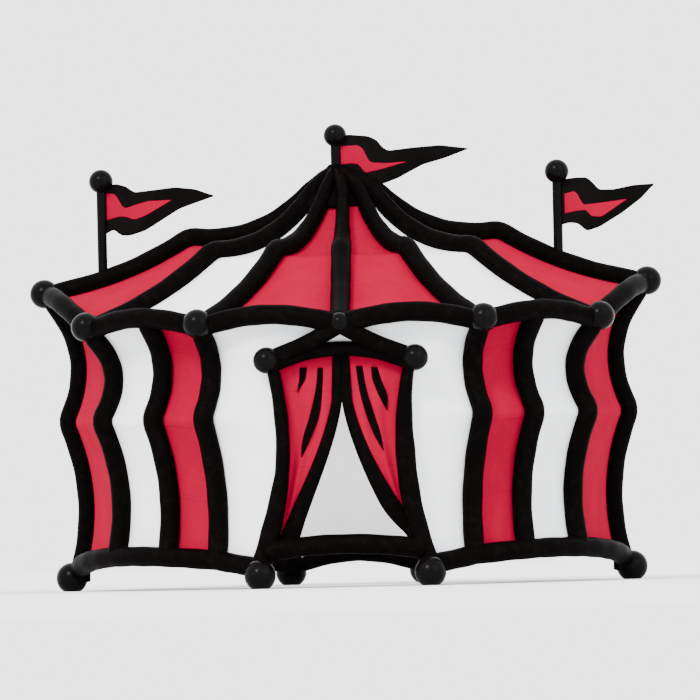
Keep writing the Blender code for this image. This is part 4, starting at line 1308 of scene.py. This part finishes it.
PENNANTS = (
    Pennant(
        "middle",
        -0.12,
        (
            *((0.05, 7.5), (0.24, 7.51), (0.55, 7.48), (0.7, 7.41), (0.78, 7.29)),
            *((0.88, 7.23), (1.27, 7.27), (1.75, 7.3), (2.2, 7.24)),
        ),
        (
            *((0.05, 7.02), (0.22, 6.94), (0.38, 6.78), (0.55, 6.67), (0.8, 6.68)),
            *((1.04, 6.77), (1.45, 6.98), (1.82, 7.08), (2.2, 7.22)),
        ),
        ((0.085, 7.32), (0.39, 7.33), (0.49, 7.24), (0.52, 7.11), (0.58, 7.04), (0.83, 7.02), (1.16, 7.04)),
        ((0.085, 7.01), (0.28, 7.03), (0.4, 7.0), (0.48, 6.86), (0.75, 6.92), (1.16, 7.03)),
    ),
    Pennant(
        "left",
        -4.04,
        (
            *((0.05, 6.74), (0.25, 6.78), (0.42, 6.73), (0.55, 6.63)),
            *((0.75, 6.65), (1.24, 6.7), (1.57, 6.66), (1.87, 6.55)),
        ),
        ((0.05, 5.93), (0.2, 6.02), (0.32, 5.91), (0.48, 5.91), (0.73, 5.99), (1.31, 6.34), (1.87, 6.53)),
        (
            *((0.085, 6.62), (0.2, 6.62), (0.27, 6.57), (0.31, 6.45)),
            *((0.38, 6.36), (0.56, 6.42), (0.78, 6.48), (1.16, 6.49)),
        ),
        ((0.085, 6.17), (0.29, 6.23), (0.39, 6.23), (0.55, 6.17), (0.74, 6.24), (1.16, 6.48)),
    ),
    Pennant(
        "right",
        3.56,
        ((0.05, 6.68), (0.3, 6.71), (0.5, 6.71), (0.6, 6.62), (0.7, 6.5), (0.95, 6.5), (1.26, 6.56), (1.61, 6.58)),
        ((0.05, 5.92), (0.2, 5.96), (0.34, 5.94), (0.48, 5.81), (0.7, 5.88), (1.09, 6.11), (1.4, 6.34), (1.61, 6.56)),
        ((0.12, 6.44), (0.3, 6.49), (0.38, 6.37), (0.41, 6.25), (0.73, 6.28), (1.15, 6.33)),
        ((0.12, 6.11), (0.31, 6.15), (0.49, 6.17), (0.54, 6.06), (0.72, 6.04), (0.88, 6.14), (1.15, 6.32)),
    ),
)


@dataclass
class PennantMaker:
    """Black pennants with a raised red panel sewn on both faces."""

    wave: float = 0.1
    thickness: float = 0.006
    raised: float = 0.012
    columns: int = 90
    rows: int = 21
    closing: float = 0.9
    least_height: float = 0.008
    curl: float = 0.012
    curl_turns: float = 5.0
    curl_reach: float = 0.5

    @staticmethod
    def eased(distance: Array, edge: Line) -> Array:
        """An edge's height: straight between its points, then softened by averaging over 80 mm."""
        x, z = (np.array(part) for part in zip(*edge))
        return sum(np.interp(distance + shift, x, z) for shift in (-0.04, -0.02, 0.0, 0.02, 0.04)) / 5

    def sway(self, distance: Array, reach: float, hoist: float) -> Array:
        """How far the cloth swings to the back: one sine wave that grows with the distance from the mast."""
        share = (distance - hoist) / (reach - hoist)
        return self.wave * np.sin(share * 2 * math.pi) * share

    def leaf(self, flag: Pennant, top: Any, bottom: Any, y_shift: float) -> Array:
        """Args: flag: the pennant. top, bottom: edges. y_shift: metres to the back. Returns: the grid between."""
        first, last = top[0][0], top[-1][0]
        reach, hoist = flag.top[-1][0], flag.top[0][0]
        distance = first + (last - first) * np.linspace(0.0, 1.0, self.columns) ** self.closing
        upper, lower = self.eased(distance, top), self.eased(distance, bottom)
        lower = np.minimum(lower, upper - self.least_height)
        share = np.linspace(0.0, 1.0, self.rows)[:, None]
        z = upper + (lower - upper) * share
        curl = self.curl * np.sin(self.curl_turns * z) * np.clip((distance - hoist) / self.curl_reach, 0, 1)
        y = self.sway(distance, reach, hoist) + curl + y_shift
        return np.stack(np.broadcast_arrays(flag.mast_x + distance, y, z), axis=-1)

    def build(self, work: Piecework) -> None:
        """Builds the three pennants."""
        back = np.array((0.0, 1.0, 0.0))
        for flag in PENNANTS:
            node = f"flag_{flag.side}"
            cloth = self.leaf(flag, flag.top, flag.bottom, -self.thickness / 2)
            way = np.broadcast_to(back, cloth.shape)
            black, red = work.finishes.flag_cloth, work.finishes.red
            work.add_sheet(f"{node}_cloth", cloth, self.thickness, black, [node], way)
            panel = self.leaf(flag, flag.red_top, flag.red_bottom, -self.raised / 2)
            work.add_sheet(f"{node}_red_panel", panel, self.raised, red, (), way)


@dataclass
class Curtains:
    """Two red curtains gathered behind the header, with padded black hems and four black bands of painted fold
    shadow.
    """

    door: Doorway
    rows: int = 90
    columns: int = 60
    fold: float = 0.035
    hem: tuple[float, float] = (0.004, 0.035)
    overlap: float = 0.006
    # Painted fold shadows: how far each black band stands behind the doorway's plane, and how far it swells.
    pleat: tuple[float, float] = (0.012, 0.022)
    pleat_tip: float = 0.004
    pleat_round: float = 0.3
    top_z: float = 3.86
    stand_back: float = 0.012
    folds: float = 3.6
    fold_top: tuple[float, float, float] = (3.9, 1.4, 0.15)
    fold_foot: tuple[float, float, float] = (0.2, 1.2, 0.3)
    fold_drift: tuple[float, float] = (0.08, 3.0)
    hem_size: tuple[int, int] = (140, 32)
    pleat_size: tuple[int, int] = (70, 24)
    # Painted shade: black bands that stand in for the shadows in the curtains' folds, each as (x, height, width)
    # knots down its curve.
    pleats: tuple[tuple[tuple[float, float, float], ...], ...] = (
        ((-0.62, 3.63, 0.12), (-0.64, 3.42, 0.10), (-0.73, 3.21, 0.004)),
        (
            *((-0.34, 3.65, 0.09), (-0.36, 3.3, 0.10), (-0.44, 2.85, 0.16)),
            *((-0.56, 2.54, 0.15), (-0.63, 2.33, 0.1), (-0.69, 2.13, 0.004)),
        ),
        ((0.29, 3.67, 0.105), (0.35, 3.21, 0.12), (0.46, 2.83, 0.135), (0.57, 2.5, 0.125), (0.67, 2.21, 0.004)),
        ((0.54, 3.62, 0.095), (0.58, 3.4, 0.145), (0.68, 3.14, 0.15), (0.74, 2.88, 0.004)),
    )

    def height(self, share: Array) -> Array:
        """Heights down the curtain, from behind the header to its hem."""
        return self.top_z + (self.door.curtain_end_z - self.top_z) * share

    def spread(self, side: int, across: Array, z: Array) -> Array:
        """X on the curtain: a straight share from its opening edge to the post."""
        edge = self.door.curtain_x(side, z)
        return side * (edge + (self.door.post_x(z) - edge) * across)

    def ripple(self, across: Array, z: Array) -> Array:
        """The folds' depth: a cosine 3.6 times across that drifts sideways down the drop. It is deepest in the middle
        and fades to a least share at the top and at the foot."""
        top_z, top_run, top_share = self.fold_top
        foot_z, foot_run, foot_share = self.fold_foot
        drift, turns = self.fold_drift
        depth = np.clip((top_z - z) / top_run, top_share, 1.0) * np.clip((z - foot_z) / foot_run, foot_share, 1.0)
        place = across * self.folds + drift * np.sin(turns * z)
        return self.fold * depth * (0.5 - 0.5 * np.cos(2 * math.pi * place))

    def build(self, work: Piecework) -> None:
        """Builds both curtains with their hems and their painted fold shadows."""
        across = np.linspace(0.0, 1.0, self.columns)[None, :]
        z = self.height(np.linspace(0.0, 1.0, self.rows))[:, None]
        back = np.array((0.0, 1.0, 0.0))
        for side in Side:
            node = f"curtain_{side.word}"
            x = self.spread(side.value, across, z)
            y = self.door.plane_y + self.stand_back + self.ripple(across, z)
            outer = np.stack(np.broadcast_arrays(x, y, z), axis=-1)
            way = np.broadcast_to(back, outer.shape)
            red = work.finishes.red
            work.add_sheet(f"{node}_cloth", outer, CLOTH, red, [node], way)
            self.build_hem(work, side, node)
        for number, pleat in enumerate(self.pleats):
            self.build_pleat(work, number, pleat)

    def build_hem(self, work: Piecework, side: Side, node: str) -> None:
        """The padded hem: a flat band along the opening edge, swollen by half an ellipse."""
        rings, sides = self.hem_size
        z = self.height(np.linspace(0.0, 1.0, rings))
        inner = self.door.curtain_x(side.value, z) - self.overlap * (z > self.door.curtain_apex_z)
        width = np.minimum(self.door.hem_width(side.value, z), self.door.post_x(z) - inner)
        line = side.value * np.stack([inner + width / 2, width], axis=-1)
        shell = self.band(line, z, self.hem, 2 * float(width.mean()), sides)
        work.add_padded(f"{node}_hem", shell, work.finishes.vinyl)

    def band(self, line: Array, z: Array, swell: tuple[float, float], round_metres: float, sides: int) -> Shell:
        """A band down the doorway's plane, swollen by half an ellipse on both faces.

        Args:
            line: its middle's X and its width at each height, both negative where its first edge is the right one.
            z: the heights.
            swell: how far its middle stands behind the doorway's plane, and how far it swells from there.
            round_metres: the cloth's metres round it.
            sides: points round it.

        Returns:
            The closed band.
        """
        turns = np.linspace(0.0, 2 * math.pi, sides + 1)[:-1]
        x = line[:, :1] - line[:, 1:] * np.cos(turns)[None, :] / 2
        y = self.door.plane_y + swell[0] - np.sin(turns)[None, :] * swell[1] + 0.0 * x
        grid = np.stack([x, y, np.broadcast_to(z[:, None], x.shape)], axis=-1)
        uv = ring_uv(np.linspace(0.0, round_metres, sides + 1), grid[:, 0])
        return capped(grid, uv, grid[0].mean(axis=0), grid[-1].mean(axis=0))

    def build_pleat(self, work: Piecework, number: int, knots: Sequence[tuple[float, float, float]]) -> None:
        """A painted fold shadow: a black band of changing width down a curve, swollen by half an ellipse."""
        points = np.array(knots)
        rings, sides = self.pleat_size
        share = np.linspace(0.0, 1.0, rings)
        runs = np.linspace(0.0, 1.0, len(points))
        x, z, width = (smooth_line(share, runs, points[:, k]) for k in range(3))
        line = np.stack([x, np.maximum(width, self.pleat_tip)], axis=-1)
        shell = self.band(line, z, self.pleat, self.pleat_round, sides)
        work.add_padded(f"curtain_pleat_{number + 1}", shell, work.finishes.vinyl)


def smooth_line(share: Array, runs: Array, values: Array) -> Array:
    """Args: share: where to read. runs: where the values stand. values: knots. Returns: them averaged over 0.16."""
    shifts = (-0.08, -0.04, 0.0, 0.04, 0.08)
    return sum(np.interp(np.clip(share + shift, 0.0, 1.0), runs, values) for shift in shifts) / len(shifts)


@dataclass
class GablePanel:
    """The small white triangle between the header and the gable."""

    door: Doorway
    reach: float = 0.97
    columns: int = 61
    rows: int = 21
    under_gable: float = 0.01
    set_in: float = 0.004

    def build(self, work: Piecework) -> None:
        """Builds the panel: straight down from the gable's line to the header's at each share across."""
        share = np.linspace(-self.reach, self.reach, self.columns)
        top = self.door.gable(1, np.abs(share))
        top[:, 0] = share * self.door.head_half
        top[:, 2] -= self.under_gable
        low = self.door.header(share)
        v = np.linspace(0.0, 1.0, self.rows)[:, None, None]
        outer = top[None] * (1 - v) + low[None] * v
        inward = np.broadcast_to((0.0, 1.0, 0.0), outer.shape)
        work.add_canvas("gable_panel", outer + inward * self.set_in, inward)


# The studio.


@dataclass
class Studio:
    """A plain pale floor, soft light and a camera a long way off, as in the picture."""

    target: tuple[float, float, float] = (0.05, 0.0, 3.92)
    distance: float = 320.0
    elevation: float = -0.35
    azimuth: float = 1.3
    roll: float = -1.3
    lens: float = 987.4
    sensor: float = 36.0
    farthest: float = 2000.0
    floor_half: float = 60.0
    sky: Colour = (0.93, 0.945, 0.96, 1.0)
    sky_strength: float = 3.3
    lamp_size: float = 3.0
    lamp_power: float = 420.0
    lamp_place: tuple[float, float, float] = (0.0, -0.5, 3.6)
    lamp_way: tuple[float, float, float] = (0.0, -0.8, 0.6)

    def build(self, finishes: Finishes) -> None:
        """Builds the floor, the lights and the camera."""
        self.build_floor(finishes)
        self.build_world()
        self.sun("key_light", (38.0, -28.0), 4.2, 14.0, (1.0, 0.99, 0.97))
        self.sun("fill_light", (30.0, 45.0), 1.2, 40.0, (0.96, 0.98, 1.0))
        self.build_inside_light()
        self.build_camera()

    def build_floor(self, finishes: Finishes) -> None:
        """The floor: one flat square."""
        h = self.floor_half
        mesh = bpy.data.meshes.new("studio_floor")
        mesh.from_pydata([(-h, -h, 0.0), (h, -h, 0.0), (h, h, 0.0), (-h, h, 0.0)], [], [(0, 1, 2, 3)])
        mesh.materials.append(finishes.floor)
        floor = bpy.data.objects.new("studio_floor", mesh)
        bpy.context.scene.collection.objects.link(floor)

    def build_world(self) -> None:
        """A near-white sky all round."""
        world = bpy.data.worlds.new("studio_world")
        bpy.context.scene.world = world
        world.use_nodes = True
        sky = world.node_tree.nodes["Background"]
        sky.inputs["Color"].default_value = self.sky
        sky.inputs["Strength"].default_value = self.sky_strength

    def sun(
        self, name: str, way: tuple[float, float], strength: float, softness: float, colour: tuple[float, ...]
    ) -> None:
        """A wide soft sun.

        Args:
            name: its name.
            way: its height and its plan angle from the front, in degrees.
            strength: its strength.
            softness: its disc in degrees.
            colour: its colour.
        """
        light = bpy.data.lights.new(name, "SUN")
        light.energy, light.angle, light.color = strength, math.radians(softness), colour
        lamp = bpy.data.objects.new(name, light)
        height, turn = (math.radians(v) for v in way)
        towards = Vector((math.sin(turn) * math.cos(height), -math.cos(turn) * math.cos(height), math.sin(height)))
        lamp.rotation_euler = towards.to_track_quat("Z", "Y").to_euler()
        bpy.context.scene.collection.objects.link(lamp)

    def build_inside_light(self) -> None:
        """A soft lamp in the ring, which lights the closed back that shows through the doorway."""
        light = bpy.data.lights.new("ring_light", "AREA")
        light.shape, light.size, light.energy = "DISK", self.lamp_size, self.lamp_power
        lamp = bpy.data.objects.new("ring_light", light)
        lamp.location = self.lamp_place
        lamp.rotation_euler = Vector(self.lamp_way).to_track_quat("Z", "Y").to_euler()
        bpy.context.scene.collection.objects.link(lamp)

    def build_camera(self) -> None:
        """The camera: level but for a small elevation, far off with a long lens, and rolled a little."""
        camera = bpy.data.cameras.new("front_camera")
        camera.lens, camera.sensor_width, camera.clip_end = self.lens, self.sensor, self.farthest
        stand = bpy.data.objects.new("front_camera", camera)
        lift, turn = math.radians(self.elevation), math.radians(self.azimuth)
        away = Vector((math.sin(turn) * math.cos(lift), -math.cos(turn) * math.cos(lift), math.sin(lift)))
        look = away.to_track_quat("Z", "Y").to_matrix().to_4x4()
        rolled = look @ Matrix.Rotation(math.radians(self.roll), 4, "Z")
        stand.matrix_world = Matrix.Translation(Vector(self.target) + away * self.distance) @ rolled
        bpy.context.scene.collection.objects.link(stand)
        bpy.context.scene.camera = stand


def main() -> None:
    """Builds the tent's pieces in order, then the studio, and logs the count of pieces and faces."""
    logging.basicConfig(level=logging.INFO, format="%(name)s %(message)s")
    form, door = TentForm(), Doorway()
    finishes = Finishes()
    work = Piecework(finishes)
    RoofCanvas(form).build(work)
    WallCanvas(form, door).build(work)
    GablePanel(door).build(work)
    PaddedCage(form, door).build(work)
    CrownAndMasts(form).build(work)
    PennantMaker().build(work)
    Curtains(door).build(work)
    Studio().build(finishes)
    log.info("%d pieces, %d faces", work.made, work.faces)
    bpy.context.view_layer.update()


if __name__ == "__main__":
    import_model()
    main()
